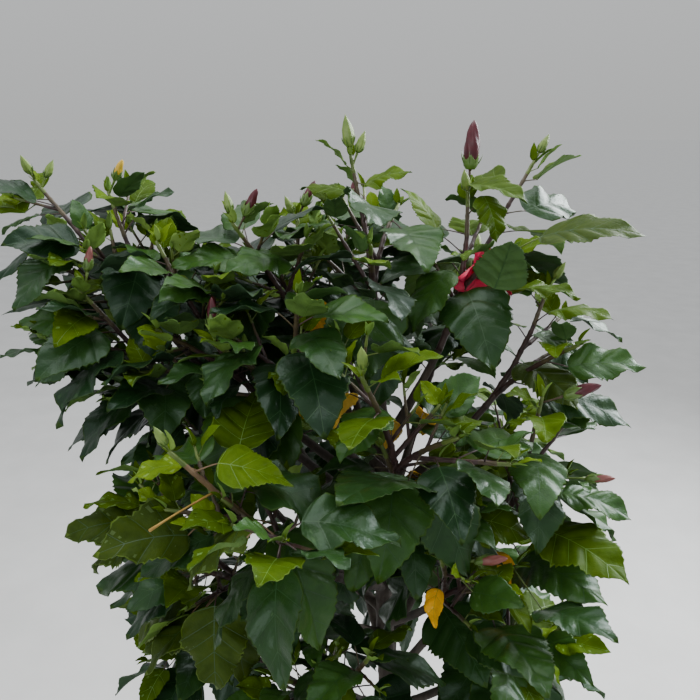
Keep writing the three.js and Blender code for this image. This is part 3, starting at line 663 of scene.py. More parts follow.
class Kind:
    """Things of one kind, in millimetres, in as many pieces as the limit asks for."""

    def __init__(self, name, materials, slot):
        self.name, self.materials, self.slot, self.heaps = name, materials, slot, []

    def add(self, points, faces, marks=0):
        """A mark is the place of the faces' material: one for all, or a list with one for each array."""
        size = sum(len(rows) * (rows.shape[1] - 2) for rows in faces)
        if not self.heaps or self.heaps[-1]["size"] + size > PIECE_LIMIT:
            self.heaps.append(dict(size=0, count=0, points=[], faces=[], marks=[]))
        heap = self.heaps[-1]
        heap["size"] += size
        heap["faces"] += [rows + heap["count"] for rows in faces]
        heap["marks"] += marks if isinstance(marks, list) else [marks] * len(faces)
        heap["points"].append(points)
        heap["count"] += len(points)

    def emit(self, nodes):
        for number, heap in enumerate(self.heaps, 1):
            name = self.name if len(self.heaps) == 1 else f"{self.name}_{number}"
            piece = put(name, mesh_of(name, heap, self.materials))
            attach(piece, "root")
            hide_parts(*nodes)


def mesh_of(name, heap, materials):
    points, faces = np.concatenate(heap["points"]) * MM, heap["faces"]
    sizes = np.concatenate([np.full(len(rows), rows.shape[1], np.int32) for rows in faces])
    loops = np.concatenate([rows.ravel() for rows in faces])
    marks = np.repeat(heap["marks"], [len(rows) for rows in faces])
    mesh = bpy.data.meshes.new(name)
    mesh.vertices.add(len(points))
    mesh.loops.add(len(loops))
    mesh.polygons.add(len(sizes))
    for part, key, values in (
            (mesh.vertices, "co", points.astype(np.float32)),
            (mesh.loops, "vertex_index", loops.astype(np.int32)),
            (mesh.polygons, "loop_start", (np.cumsum(sizes) - sizes).astype(np.int32)),
            (mesh.polygons, "loop_total", sizes),
            (mesh.polygons, "material_index", marks.astype(np.int32)),
            (mesh.polygons, "use_smooth", np.ones(len(sizes), bool))):
        part.foreach_set(key, values.ravel())
    for material in materials:
        mesh.materials.append(material)
    mesh.update(calc_edges=True)
    mesh.validate()
    return mesh


def grid_faces(rows, columns, closed=False, flip=False):
    """Four-sided faces between the rows of a grid of points, closed on itself like a tube, or open."""
    r, c = np.meshgrid(np.arange(rows - 1), np.arange(columns if closed else columns - 1), indexing="ij")
    r, c = r.ravel(), c.ravel()
    d = (c + 1) % columns
    quads = np.stack([r * columns + c, r * columns + d, (r + 1) * columns + d, (r + 1) * columns + c], 1)
    return quads[:, ::-1] if flip else quads


def fan_faces(centre, ring, flip=False):
    tris = np.stack([np.full(len(ring), centre), ring, np.roll(ring, -1)], 1)
    return tris[:, ::-1] if flip else tris


def tube_faces(rings, sides, flip=False):
    """The walls of a tube of rings, and its two ends, each drawn to one of the last two points."""
    ends = [fan_faces(rings * sides, np.arange(sides), not flip),
            fan_faces(rings * sides + 1, (rings - 1) * sides + np.arange(sides), flip)]
    return [grid_faces(rings, sides, closed=True, flip=flip), np.concatenate(ends)]


def girth(sides):
    return 2 * np.pi * np.arange(sides) / sides


def hoop(centre, first, other, radius, sides):
    """A ring of points about a centre, in the plane of two directions, with a radius for all or for each."""
    turns = girth(sides)[:, None]
    return centre + (np.cos(turns) * first + np.sin(turns) * other) * np.reshape(radius, (-1, 1))


def lengths(rows):
    return np.linalg.norm(rows, axis=1)


def tube(centres, radii, sides, side=LEVEL):
    """A closed tube through points, with a radius at each, or one for each point round each ring."""
    centres = np.asarray(centres, float)
    ways = np.gradient(centres, axis=0)
    ways /= lengths(ways)[:, None]
    first = side if abs(ways[0] @ side) <= 0.9 else ASIDE
    rings = []
    for centre, way, radius in zip(centres, ways, radii):
        first = unit(first - way * (first @ way))
        rings.append(hoop(centre, first, np.cross(way, first), radius, sides))
    return np.concatenate(rings + [centres[:1], centres[-1:]]), tube_faces(len(centres), sides)


def bezier(a, b, c, count):
    t = np.linspace(0, 1, count)[:, None]
    return a * (1 - t) ** 2 + b * (2 * (1 - t) * t) + c * t ** 2


def ball(centre, radius, sides, rows):
    angle = np.linspace(0.25, np.pi - 0.25, rows)
    return tube(centre + np.outer(-np.cos(angle), UP) * radius, np.sin(angle) * radius, sides)


# Blades: a closed shell with a toothed edge, sunken side veins that run to the teeth, and a fold at the
# midrib. Teeth stand between two shares of the length, each with its top at a share of its step.
TEETH = dict(first=0.34, last=0.975, top=0.72, uneven=0.45, sharp=6)
# How far the side veins lean to the tip, and the pleats' heights from tooth to tooth and near the foot
VEIN_LEAN = 1.95
PLEATS = [0.0, -1.0, 0.0, 0.7, 1.0, 0.7]
FOOT_PLEATS = ([0, 0.06, 0.15, 0.24], [0.2, -0.9, 0.8, -0.4])
PLEAT_FADE = ([0, 0.12, 0.45, 0.8, 1], [0.0, 0.55, 1.0, 0.85, 0.45])


def thickness(leaf):
    return 0.0045 * leaf.length + 0.12


def outline(e):
    """Half the blade's width at a share of its length, of one at its widest."""
    widest = LEAF_SHAPE["widest"] - 0.04
    low = np.sqrt(np.clip(1 - ((widest - e) / widest) ** 2, 0, 1))
    x = np.clip((e - widest) / (1 - widest), 0, 1)
    return np.where(e < widest, low, (1 - x) ** 1.02 * (1 + 0.66 * x))


def blade_points(leaf, look, s, y, lift):
    """Points of an arched and twisted blade, by their share along it, way aside and lift off it."""
    bend = leaf.sag * LEAF_SHAPE["crest"]
    turn = leaf.sag * s - bend
    along = (np.sin(turn) + math.sin(bend)) / leaf.sag * leaf.length
    down = (math.cos(bend) - np.cos(turn)) / leaf.sag * leaf.length
    roll = look["twist"] * (s - 0.25)
    along, down, turn, roll, y, lift = (value[..., None] for value in (along, down, turn, roll, y, lift))
    normal = leaf.normal * np.cos(turn) + leaf.blade * np.sin(turn)
    side = leaf.side * np.cos(roll) + normal * np.sin(roll)
    out = normal * np.cos(roll) - leaf.side * np.sin(roll)
    return leaf.foot + leaf.blade * along - leaf.normal * down + side * y + out * lift


class Shell:
    """The grid that blades of one size share: teeth, columns off the midrib, and rows at the foot."""

    def __init__(self, teeth, columns, base, tooth):
        step = (TEETH["last"] - TEETH["first"]) / teeth
        valleys = TEETH["first"] + step * np.arange(teeth)
        toothed = np.stack([valleys, valleys + TEETH["top"] * step], 1).ravel()
        self.e = np.concatenate([base, toothed])
        self.cut = np.concatenate([np.zeros(len(base)), np.tile([1.0, 0.0], teeth)])
        self.middle = self.e ** VEIN_LEAN
        self.pleat = np.concatenate([np.interp(base, *FOOT_PLEATS), np.resize(PLEATS, len(toothed))])
        self.veins = [row for row, height in enumerate(self.pleat) if height < -0.8]
        self.u = np.concatenate([-np.array(columns[::-1]), [0.0], columns])
        self.fade = np.interp(np.abs(self.u), *PLEAT_FADE)
        self.tooth = tooth
        rows, wide = self.rows, self.wide = len(self.e), len(self.u)
        tip = rows * wide
        inner = np.arange(tip).reshape(rows, wide)
        inner[1:, 1:-1] = tip + 1 + np.arange((rows - 1) * (wide - 2)).reshape(rows - 1, wide - 2)
        top, under = grid_faces(rows, wide, flip=True), inner.ravel()[grid_faces(rows, wide)]
        last, low = np.arange((rows - 1) * wide, tip), inner[-1]
        cap, low_cap = (np.stack([a, np.full(wide - 1, tip), b], 1) for a, b in
                        ((last[:-1], last[1:]), (low[1:], low[:-1])))
        strip = np.arange(len(top)) % (wide - 1)
        edge = (strip == 0) | (strip == wide - 2)
        broad = wide > 7
        self.faces = [top[~edge], top[edge], cap, under, low_cap] if broad else [top, cap, under, low_cap]
        self.marks = [0, 2, 2, 1, 1] if broad else [0, 0, 1, 1]

    def points(self, leaf, look):
        e, u = self.e[:, None], self.u[None, :]
        a = np.abs(u)
        half = 0.5 * leaf.width * look.get("broad", 1.0)
        uneven = 1 + TEETH["uneven"] * np.sin(look["phase"] * 40 + 2.3 * np.arange(self.rows))[:, None]
        y = u * half * outline(e) * (1 - self.tooth * uneven * self.cut[:, None] * a ** TEETH["sharp"])
        s = self.middle[:, None] + (e - self.middle[:, None]) * a
        wave = np.sin(2 * np.pi * (look["waves"] * e + look["phase"]) + np.pi * (u < 0) * look["odd"])
        lift = look["fold"] * (1 + look.get("skew", 0.0) * np.sign(u)) * np.abs(y)
        lift = lift - look["curl"] * y * y / half
        lift = lift + (look["pleat"] * leaf.length * self.pleat[:, None] * self.fade[None, :]
                       * np.sqrt(outline(e)))
        lift = lift + look["wave"] * half * wave * a ** 2 * np.minimum(1, 4 * e)
        surface = blade_points(leaf, look, s, y, lift)
        under = blade_points(leaf, look, s, y, lift - thickness(leaf))[1:, 1:-1]
        tip = blade_points(leaf, look, np.ones(1), np.zeros(1), np.zeros(1))
        return np.concatenate([surface.reshape(-1, 3), tip, under.reshape(-1, 3)]), surface


# The largest blades first: the length from which each is used, and its shell
SHELLS = [
    (66, Shell(9, [0.26, 0.62, 0.94, 1], [0.010, 0.06, 0.11, 0.18, 0.27], 0.090)),
    (40, Shell(7, [0.45, 0.92, 1], [0.012, 0.06, 0.15, 0.26], 0.085)),
    (0, Shell(5, [0.45, 0.88, 1], [0.02, 0.10, 0.24], 0.09)),
]
SHOWN_SHELL = Shell(12, [0.12, 0.35, 0.6, 0.8, 0.95, 1], [0.005, 0.02, 0.06, 0.10, 0.15, 0.21, 0.28], 0.100)
TINY_SHELL = Shell(3, [0.85, 1], [0.03, 0.18], 0.10)

# Veins, on a leaf 100 mm long: the midrib's width at its foot and what it loses to the tip, a side vein's
# width at both ends, and how far they stand out
VEIN = dict(midrib=1.3, loss=0.95, side=0.6, side_end=0.25, above=0.22, below=0.25, under=1.3, least_leaf=40)


def ribbon(path, width, lift):
    """A flat strip along a path, raised along lift, with a width at each point."""
    across = np.cross(lift, np.gradient(path, axis=0))
    across *= (width / lengths(across) * 0.5)[:, None]
    return np.stack([path - across, path + across], 1).reshape(-1, 3), [grid_faces(len(path), 2)]


def add_veins(kind, shell, surface, leaf):
    """The midrib on both faces, and the side veins in their furrows."""
    centre = shell.wide // 2
    midrib = surface[:, centre]
    normal = np.cross(np.gradient(midrib, axis=0), surface[:, centre + 1] - surface[:, centre - 1])
    normal /= lengths(normal)[:, None]
    if normal[0] @ leaf.normal < 0:
        normal = -normal
    size = leaf.length / 100
    width = (VEIN["midrib"] - VEIN["loss"] * shell.e) * size
    above, below = VEIN["above"] * size, thickness(leaf) + VEIN["below"] * size
    kind.add(*ribbon(midrib + normal * above, width, normal))
    kind.add(*ribbon(midrib - normal * below, width * VEIN["under"], -normal))
    for row in shell.veins if leaf.length >= VEIN["least_leaf"] else ():
        for step in (1, -1):
            path = surface[row, centre::step]
            width = np.linspace(VEIN["side"], VEIN["side_end"], len(path)) * size
            kind.add(*ribbon(path + normal[row] * above, width, np.tile(normal[row] * step, (len(path), 1))))


# Petioles, twigs and their tips. A mark is the place of a stem's skin in this list
SKINS = ["stem_young", "stem_half", "stem_old", "stem_tan", "stem_straw"]
YOUNG, HALF, OLD, TAN, STRAW = range(len(SKINS))
PETIOLE = dict(sunk=0.5, bend=0.62, lift=0.05, sides=5, radii=np.array([1.25, 0.84, 0.77, 0.8, 0.62]))
# A twig swells at each leaf's node. It is young as far as the first of two lengths from its tip, and old
# past the second.
LEAD_SKIN = dict(sides=7, stages=[20.0, 48.0])
TWIG_SKIN = dict(sides=5, stages=[14.0, 34.0])
STEM = dict(pace=7, over=1.12, swell=0.22, swell_reach=2.2, before=2.5, after=2.0, wander=0.35, waves=23,
            end=1.6)
DIVERGENCE = 2.4


def any_turn(draw):
    return draw.between(0, 6.28)


def add_petiole(kind, leaf, mark):
    start = leaf.root + leaf.out * PETIOLE["sunk"]
    bend = leaf.root + leaf.out * (PETIOLE["bend"] * leaf.stalk) + UP * (PETIOLE["lift"] * leaf.stalk)
    radii = PETIOLE["radii"] * (0.45 + 0.6 * min(1.0, leaf.length / 90))
    kind.add(*tube(bezier(start, bend, leaf.foot + leaf.blade, len(radii)), radii, PETIOLE["sides"]), mark)


def add_shoot(kind, limb, skin, nodes, marks, phase):
    """A twig with a swelling at each leaf, green at its tip and dark where it is old."""
    knees = [node + past / limb.length for node in nodes for past in (-STEM["before"], 0.0, STEM["after"])]
    spots = np.concatenate([np.linspace(0, 1, max(6, int(limb.length / STEM["pace"]))), knees])
    spots = np.unique(np.round(np.clip(spots, 0, 1), 4))
    spots = spots[np.diff(spots, prepend=-1) > 0.5 / limb.length]
    radius = limb.radius(spots) * STEM["over"]
    for node in nodes:
        gap = (spots - node) * limb.length / STEM["swell_reach"]
        radius = radius * (1 + STEM["swell"] * np.exp(-gap ** 2))
    points = np.array([limb.spot(t) for t in spots])
    points[1:-1] += limb.side * (STEM["wander"] * np.sin(phase + spots[1:-1] * STEM["waves"]))[:, None]
    points = np.concatenate([points, [points[-1] + limb.way(1.0) * STEM["end"]]])
    mesh, (walls, ends) = tube(points, [*radius, radius[-1] * 0.35], skin["sides"])
    walls = walls.reshape(-1, skin["sides"], 4)
    stage = np.searchsorted(skin["stages"], (1 - spots) * limb.length)
    rows = [walls[stage == k].reshape(-1, 4) for k in range(3)]
    kind.add(mesh, [*rows, ends], [*marks, marks[0]])


def add_tuft(blades, stalks, limb, draw, count):
    """The unopened leaves at a shoot's tip, upright and folded, with thin stipules between them."""
    for k in range(count):
        t = 1 - (1.0 + 2.2 * k) / limb.length
        spin = math.pi / 2 + k * DIVERGENCE + draw.between(-0.4, 0.4)
        out = unit(limb.way(t) * (1.15 - 0.18 * k) + limb.across(t, spin) * (0.32 + 0.16 * k) + UP * 0.25)
        flat = unit(np.array([out[0], out[1], 0.0]) + LEVEL * 1e-3)
        rise = math.asin(min(0.98, max(-0.98, out[2]))) + 0.12
        length = draw.between(11, 17) + 5.5 * k
        way = held(flat, rise, draw.between(-0.5, 0.5))
        leaf = Leaf(limb.spot(t), out, way, length, length * 0.42, 2.5 + 1.6 * k, 0.35)
        look = dict(waves=1.0, phase=draw.number(), odd=1, fold=0.75 - 0.08 * k, curl=0.10, pleat=0.012,
                    wave=0.06, twist=draw.between(-0.3, 0.3))
        blades.add(TINY_SHELL.points(leaf, look)[0], TINY_SHELL.faces, TINY_SHELL.marks)
        add_petiole(stalks, leaf, YOUNG)
    root = limb.spot(1.0)
    for k in range(3):
        way = unit(limb.way(1.0) + limb.across(1.0, 2.1 * k + 0.6) * 0.55)
        path = bezier(root, root + way * 4, root + way * 8 + UP * 1.5, 4)
        blades.add(*tube(path, [0.7, 0.6, 0.4, 0.08], 4))


# Buds and the open bloom. A bud's radius is a share of its length, by the share of the way up it.
GREEN_BUD = ([0, 0.06, 0.3, 0.55, 0.8, 0.93, 1], [0.09, 0.15, 0.20, 0.185, 0.10, 0.035, 0.01])
BRIGHT_BUD = ([0, 0.08, 0.3, 0.5, 0.75, 0.92, 1], [0.07, 0.12, 0.155, 0.16, 0.12, 0.07, 0.012])
BUD = dict(rings=22, ribs=5, red_longer=1.18, lobes=7, big=50, big_cup=0.30, cup=0.54)
CUP = dict(lobes=5, sides=30, rows=9, swells=(0.75, 0.15),
           shape=([0, 0.08, 0.3, 0.5], [0.08, 0.135, 0.165, 0.165]))
PETAL = dict(rows=26, columns=17, thick=0.5,
             shape=([0, 0.08, 0.25, 0.5, 0.75, 0.9, 1.0], [0.10, 0.16, 0.42, 0.86, 1.0, 0.84, 0.40]))
COLUMN = dict(rings=14, bow=2.5, stamens=46, stigmas=5)


def add_bud(kinds, bud, draw):
    root, way, stalk, long, tint = bud
    neck = root + way * stalk
    red = tint == "red"
    long = long * (BUD["red_longer"] if red else 1.0)
    aside = unit(np.cross(way, LEVEL) + LEVEL * 0.2)
    lean = aside * draw.between(-0.05, 0.05) * long
    bow = bezier(root, root + way * (stalk * 0.5) - lean * 0.4, neck, 5)
    kinds["bud_stalk"].add(*tube(bow, [1.4, 1.1, 1.1, 1.3, 1.9], 7), 1 if red else 0)
    whole = bezier(neck, neck + way * (long * 0.5) + lean, neck + way * long, BUD["rings"])
    s = np.linspace(0, 1, BUD["rings"])
    if tint == "green":
        shape, twist, depth, sides = GREEN_BUD, s * 0.2, 0.07 * np.sin(np.pi * s) + 0.02, 20
    else:
        shape, twist, depth, sides = BRIGHT_BUD, s * 2.6, 0.10 * np.clip(s * 2 - 0.3, 0, 1), 25
        add_cup(kinds["calyx"], neck, way, aside, long, BUD["big_cup"] if long > BUD["big"] else BUD["cup"])
    ribs = 1 + depth[:, None] * np.cos(BUD["ribs"] * (girth(sides) + twist[:, None]))
    kinds["bud_" + tint].add(*tube(whole, np.interp(s, *shape)[:, None] * long * ribs, sides, aside))
    for k in range(BUD["lobes"]):
        turn = 2 * np.pi * k / BUD["lobes"] + 0.3
        away = aside * math.cos(turn) + np.cross(way, aside) * math.sin(turn)
        size = long * draw.between(0.30, 0.40)
        path = bezier(neck + away * 1.2, neck + away * (0.17 * long + 1.5) + way * (size * 0.35),
                      neck + away * (0.24 * long) + way * size, 5)
        kinds["calyx"].add(*tube(path, [0.9, 0.9, 0.8, 0.5, 0.08], 4))


def add_cup(kind, neck, way, aside, long, reach):
    """The green cup of a coloured bud or a bloom: a shell that ends in five points."""
    rows, sides = CUP["rows"], CUP["sides"]
    saw = 1 - np.abs(((girth(sides) * CUP["lobes"] / (2 * np.pi)) % 1) * 2 - 1)
    walls = []
    for swell in CUP["swells"]:
        rings = []
        for s in np.linspace(0, 1, rows):
            share = reach * (s * (0.62 + 0.38 * saw ** 1.3))
            radius = np.interp(share, *CUP["shape"]) * long + swell
            centres = neck + way * (long * share)[:, None]
            rings.append(hoop(centres, aside, np.cross(way, aside), radius, sides))
        walls.append(rings)
    first, last = np.arange(sides), (2 * rows - 1) * sides + np.arange(sides)
    close = np.stack([last, np.roll(last, -1), np.roll(first, -1), first], 1)
    kind.add(np.concatenate(walls[0] + walls[1][::-1]), [grid_faces(2 * rows, sides, closed=True), close])


def add_petal(kind, petal, draw):
    phase = draw.between(0, 6.28)
    rows, wide = PETAL["rows"], PETAL["columns"]
    e, u = np.linspace(0, 1, rows)[:, None], np.linspace(-1, 1, wide)[None, :]
    a = np.abs(u)
    y = u * np.interp(e, *PETAL["shape"]) * petal.width * 0.36
    s = e * (1 - 0.10 * a ** 3)
    ruffle = np.sin(7 * u + phase) * 0.09 + np.sin(15 * u + 2 * phase) * 0.04
    lift = petal.width * (0.16 * a ** 2 * (1 - e) + ruffle * e ** 3 * (0.35 + a) + 0.012 * np.sin(26 * u) * e)
    look = dict(twist=draw.between(-0.9, 0.9))
    top, under = (blade_points(petal, look, s, y, lift - sunk).reshape(-1, 3)
                  for sunk in (0.0, PETAL["thick"]))
    n = rows * wide
    rim = np.concatenate([np.arange(wide), np.arange(2 * wide - 1, n, wide),
                          np.arange(n - 2, n - wide - 1, -1), np.arange(n - 2 * wide, 0, -wide)])
    edge = np.stack([rim, np.roll(rim, -1), np.roll(rim, -1) + n, rim + n], 1)
    walls = [grid_faces(rows, wide, flip=True), grid_faces(rows, wide) + n, edge]
    kind.add(np.concatenate([top, under]), walls)


def add_bloom(kinds, bloom, draw):
    root, throat, column, petals = bloom
    axis = unit(column - throat)
    stalk = bezier(root, (root + throat) / 2 + UP * 3, throat - axis * 6, 8)
    kinds["bud_stalk"].add(*tube(stalk, [1.6, 1.3, 1.3, 1.3, 1.4, 1.6, 1.9, 2.4], 8))
    for petal in petals:
        add_petal(kinds["petal"], petal, draw)
    along = np.linspace(0, 1, COLUMN["rings"])[:, None]
    path = throat + (column - throat) * along + UP * (COLUMN["bow"] * np.sin(np.pi * along))
    kinds["petal"].add(*tube(path, np.linspace(2.0, 1.0, COLUMN["rings"]), 10))
    first = unit(np.cross(axis, UP))
    other = np.cross(axis, first)
    for k in range(COLUMN["stamens"]):
        t = 0.45 + 0.5 * k / COLUMN["stamens"]
        turn = k * DIVERGENCE
        away = unit((first * math.cos(turn) + other * math.sin(turn)) + axis * 0.35)
        base = throat + (column - throat) * t + UP * (COLUMN["bow"] * math.sin(math.pi * t))
        end = base + away * draw.between(4.0, 6.0)
        kinds["petal"].add(*tube([base, (base + end) / 2, end], [0.3, 0.22, 0.2], 4))
        kinds["anther"].add(*ball(end, 0.85, 6, 4))
    for end in hoop(column + axis * 3, first, other, 3.2, COLUMN["stigmas"]):
        kinds["petal"].add(*tube([column - axis, (column + end) / 2, end], [0.45, 0.35, 0.3], 5))
        kinds["petal"].add(*ball(end, 1.2, 8, 6))
    add_cup(kinds["calyx"], throat - axis * 9, axis, first, 52, 0.42)


# Bark: the trunk and the boughs with ridges, scars and a collar where each bough leaves
TRUNK_BARK = dict(rings=270, sides=44, seed=31, ridge=0.75, scars=range(60, 760, 47), collar=1.1,
                  collar_reach=9, lobes=2.4, lobes_fall=16)
BOUGH_BARK = dict(pace=3.0, sides=14, seed=40, next_seed=7, ridge=0.30, first_scar=28, past_scar=8,
                  scar_gap=26, foot=2.4, foot_fall=11)


def ripple(turns, along, seed, scale):
    """A relief of smooth bumps from a fixed sum of waves, over the girth and the length."""
    draw = Draw(seed)
    total = np.zeros((len(along), len(turns)))
    for _ in range(14):
        around = int(draw.between(1, 9))
        pitch = draw.between(0.02, 0.35) / scale
        wave = np.sin(around * turns[None, :] + pitch * along[:, None] * 6.28 + any_turn(draw))
        total += wave / (1 + 0.3 * around)
    return total / 4


def add_bark(kind, path, radius, sides, seed, ridge, scars):
    """A limb's skin: ridges with furrows between, rings and scars where leaves stood, and corky spots."""
    along = np.concatenate([[0], np.cumsum(lengths(np.diff(path, axis=0)))])
    turns = girth(sides)

    def swelling(at, turn, wide, long):
        gap = (turns - turn + np.pi) % (2 * np.pi) - np.pi
        return np.exp(-(gap[None, :] / wide) ** 2 - ((along[:, None] - at) / long) ** 2)

    radius = radius + ridge * ripple(turns, along, seed, 10)
    furrows = np.abs(np.sin(sides / 8 * turns[None, :] + 2.2 * ripple(turns, along, seed + 5, 22)))
    radius = radius - ridge * 0.9 * (1 - furrows) ** 3
    draw = Draw(seed + 9)
    for at in scars:
        ring = np.exp(-((along[:, None] - at) / 1.6) ** 2)
        radius = radius + swelling(at, any_turn(draw), 0.7, 2.6) * 0.9 + ring * 0.25
    for _ in range(int(along[-1] / 5)):
        at = draw.between(0, along[-1])
        radius = radius + 0.35 * swelling(at, any_turn(draw), 0.28, 1.3)
    kind.add(*tube(path, radius, sides))


def add_trunk(kind):
    bark = TRUNK_BARK
    heights = np.linspace(SOIL_TOP + 0.4, FORK_HEIGHT, bark["rings"])
    radius = np.array([trunk_radius(h) for h in heights])
    for _, foot, _, _ in BOUGHS:
        radius = radius + bark["collar"] * np.exp(-((heights - foot) / bark["collar_reach"]) ** 2)
    turns = girth(bark["sides"])
    lobes = (np.sin(3 * turns + 1) + 0.6 * np.sin(5 * turns))[None, :]
    fall = np.exp(-(heights - SOIL_TOP) / bark["lobes_fall"])[:, None]
    add_bark(kind, np.array([trunk_axis(h) for h in heights]), radius[:, None] + bark["lobes"] * fall * lobes,
             bark["sides"], bark["seed"], bark["ridge"], bark["scars"])


def add_bough(kind, limb, seed):
    bark = BOUGH_BARK
    spots = np.linspace(0, 1, max(12, int(limb.length / bark["pace"])))
    path = np.array([limb.curve(t) * 0.6 + limb.spot(t) * 0.4 for t in spots])
    radius = limb.radius(spots) + bark["foot"] * np.exp(-spots * limb.length / bark["foot_fall"])
    scars = range(bark["first_scar"], int(limb.length) - bark["past_scar"], bark["scar_gap"] + seed % 9)
    add_bark(kind, path, radius[:, None], bark["sides"], seed, bark["ridge"], scars)


# Pot and soil
POT = dict(height=280.0, rim_radius=165.0, foot_radius=118.0, wall=9.0, floor=14.0, band_height=34.0,
           band_step=6.0, sides=112, pace=3.0, hub=0.5)
SOIL = dict(rings=46, sides=132, middle=2, gap=1.2, depth=14, sunk=1.6, waves=34, clear=21, crumbs=1050,
            least_crumb=0.7, crumb_range=2.6, crumb_rarity=2.2, grit=0.12)


def side_radius(z):
    top = POT["rim_radius"] - POT["band_step"]
    return POT["foot_radius"] + (top - POT["foot_radius"]) * z / POT["height"]


def smooth_path(corners, pace):
    """Points along a line of corners, with each corner rounded by its own radius."""
    spots = [np.array(corner[:2], float) for corner in corners]
    line = [spots[0]]
    for before, here, after, corner in zip(spots, spots[1:], spots[2:], corners[1:]):
        a, b = (here + unit(other - here) * corner[2] for other in (before, after))
        line.extend(bezier(a, here, b, 5))
    line.append(spots[-1])
    dense = [line[0]]
    for a, b in zip(line, line[1:]):
        n = max(1, int(np.linalg.norm(b - a) / pace))
        dense.extend(a + (b - a) * (i + 1) / n for i in range(n))
    return np.array(dense)


def add_pot(kind):
    h, rim, wall, floor = POT["height"], POT["rim_radius"], POT["wall"], POT["floor"]
    band = h - POT["band_height"]
    corners = [(POT["hub"], 0, 0), (POT["foot_radius"] - 1, 0, 3), (side_radius(band), band, 1.2),
               (rim - 1.2, band + 1.5, 1.5), (rim, h - 1, 4), (side_radius(h) - wall + 1, h, 4),
               (side_radius(floor) - wall, floor, 4), (POT["hub"], floor, 0)]
    profile = smooth_path(corners, POT["pace"])
    r, z = profile.T
    outside = (r > side_radius(z) - 4) & (z > 6) & (z < band - 3)
    rings = 0.28 * np.sin(z * 1.1 + 2 * np.sin(z * 0.07)) + 0.18 * np.sin(z * 0.37)
    r += np.where(outside, rings - 0.3, 0)
    r -= 0.9 * np.exp(-((z - (band + 12)) / 1.2) ** 2) * (r > rim - 6)
    hoops = [hoop(UP * up, LEVEL, ASIDE, out, POT["sides"]) for out, up in profile]
    points = np.concatenate(hoops + [[UP * z[0]], [UP * z[-1]]])
    turns = np.arctan2(points[:, 1], points[:, 0])
    wobble = 0.35 * np.sin(2 * turns + 0.6) + 0.2 * np.sin(5 * turns + points[:, 2] * 0.02)
    moved = np.where((points[:, 2] > 4) & (lengths(points[:, :2]) > 30), wobble - 0.4, 0)
    points[:, :2] += np.stack([np.cos(turns), np.sin(turns)], 1) * moved[:, None]
    kind.add(points, tube_faces(len(profile), POT["sides"]))


def add_soil(kind, draw):
    """Crumbly potting soil: a lumpy skin over the whole fill, and loose crumbs lying on it."""
    sides, low = SOIL["sides"], SOIL_TOP - SOIL["depth"]
    edge = side_radius(SOIL_TOP) - POT["wall"] - SOIL["gap"]
    radii = np.linspace(SOIL["middle"], edge, SOIL["rings"])
    x, y = (radii[:, None] * wave(girth(sides)) for wave in (np.cos, np.sin))
    lump = np.zeros_like(x)
    for _ in range(SOIL["waves"]):
        scale = draw.between(0.03, 0.85)
        a, b = any_turn(draw), any_turn(draw)
        lump += np.sin((x * math.cos(a) + y * math.sin(a)) * scale + b) * (0.5 / (0.5 + scale * 3))
    fade = np.clip((radii - 16) / 20, 0, 1)[:, None]
    heap = 1.2 * np.exp(-((radii - 22) / 16) ** 2)[:, None]
    z = np.minimum(SOIL_TOP - SOIL["sunk"] + 0.75 * lump * fade + heap, SOIL_TOP + 3)
    wall = hoop(UP * low, LEVEL, ASIDE, edge, sides)
    points = [np.stack([x, y, z], 2).reshape(-1, 3), wall, [UP * (SOIL_TOP - 1)], [UP * low]]
    kind.add(np.concatenate(points), tube_faces(len(radii) + 1, sides, flip=True))
    for _ in range(SOIL["crumbs"]):
        r, turn = edge * math.sqrt(draw.between(0.03, 0.98)), any_turn(draw)
        size = SOIL["least_crumb"] + SOIL["crumb_range"] * draw.number() ** SOIL["crumb_rarity"]
        if r < SOIL["clear"] or r > edge - 3:
            continue
        centre = np.array([r * math.cos(turn), r * math.sin(turn), SOIL_TOP - 0.8 + 0.3 * size])
        points, faces = ball(centre, size, 5, 4)
        squash = np.array([draw.between(0.7, 1.3), draw.between(0.7, 1.3), draw.between(0.5, 0.8)])
        kind.add(centre + (points - centre) * squash, faces, 1 if draw.number() < SOIL["grit"] else 0)


# Materials: what is the same all over is set on the shader, and the rest is made from noise
def shader(name, rough, **more):
    made = bpy.data.materials.new(name)
    made.use_nodes = True
    node = made.node_tree.nodes["Principled BSDF"]
    node.inputs["Roughness"].default_value = rough
    for key, value in more.items():
        node.inputs[key.replace("_", " ")].default_value = value
    return made, made.node_tree, node


def texture(tree, kind, scale, stretch=None):
    made = tree.nodes.new(kind)
    made.inputs["Scale"].default_value = scale
    source = tree.nodes.new("ShaderNodeTexCoord").outputs["Object"]
    if stretch is not None:
        mapping = tree.nodes.new("ShaderNodeMapping")
        mapping.inputs["Scale"].default_value = stretch
        tree.links.new(source, mapping.inputs["Vector"])
        source = mapping.outputs["Vector"]
    tree.links.new(source, made.inputs["Vector"])
    return made


def noise(tree, scale, detail=4.0, rough=0.55, stretch=None):
    made = texture(tree, "ShaderNodeTexNoise", scale, stretch)
    made.inputs["Detail"].default_value = detail
    made.inputs["Roughness"].default_value = rough
    return made.outputs["Fac"]


def ramp(tree, value, stops):
    node = tree.nodes.new("ShaderNodeValToRGB")
    first, last = node.color_ramp.elements
    for element, (spot, colour) in ((first, stops[0]), (last, stops[-1])):
        element.position, element.color = spot, (*colour, 1)
    for spot, colour in stops[1:-1]:
        node.color_ramp.elements.new(spot).color = (*colour, 1)
    tree.links.new(value, node.inputs["Fac"])
    return node.outputs["Color"]


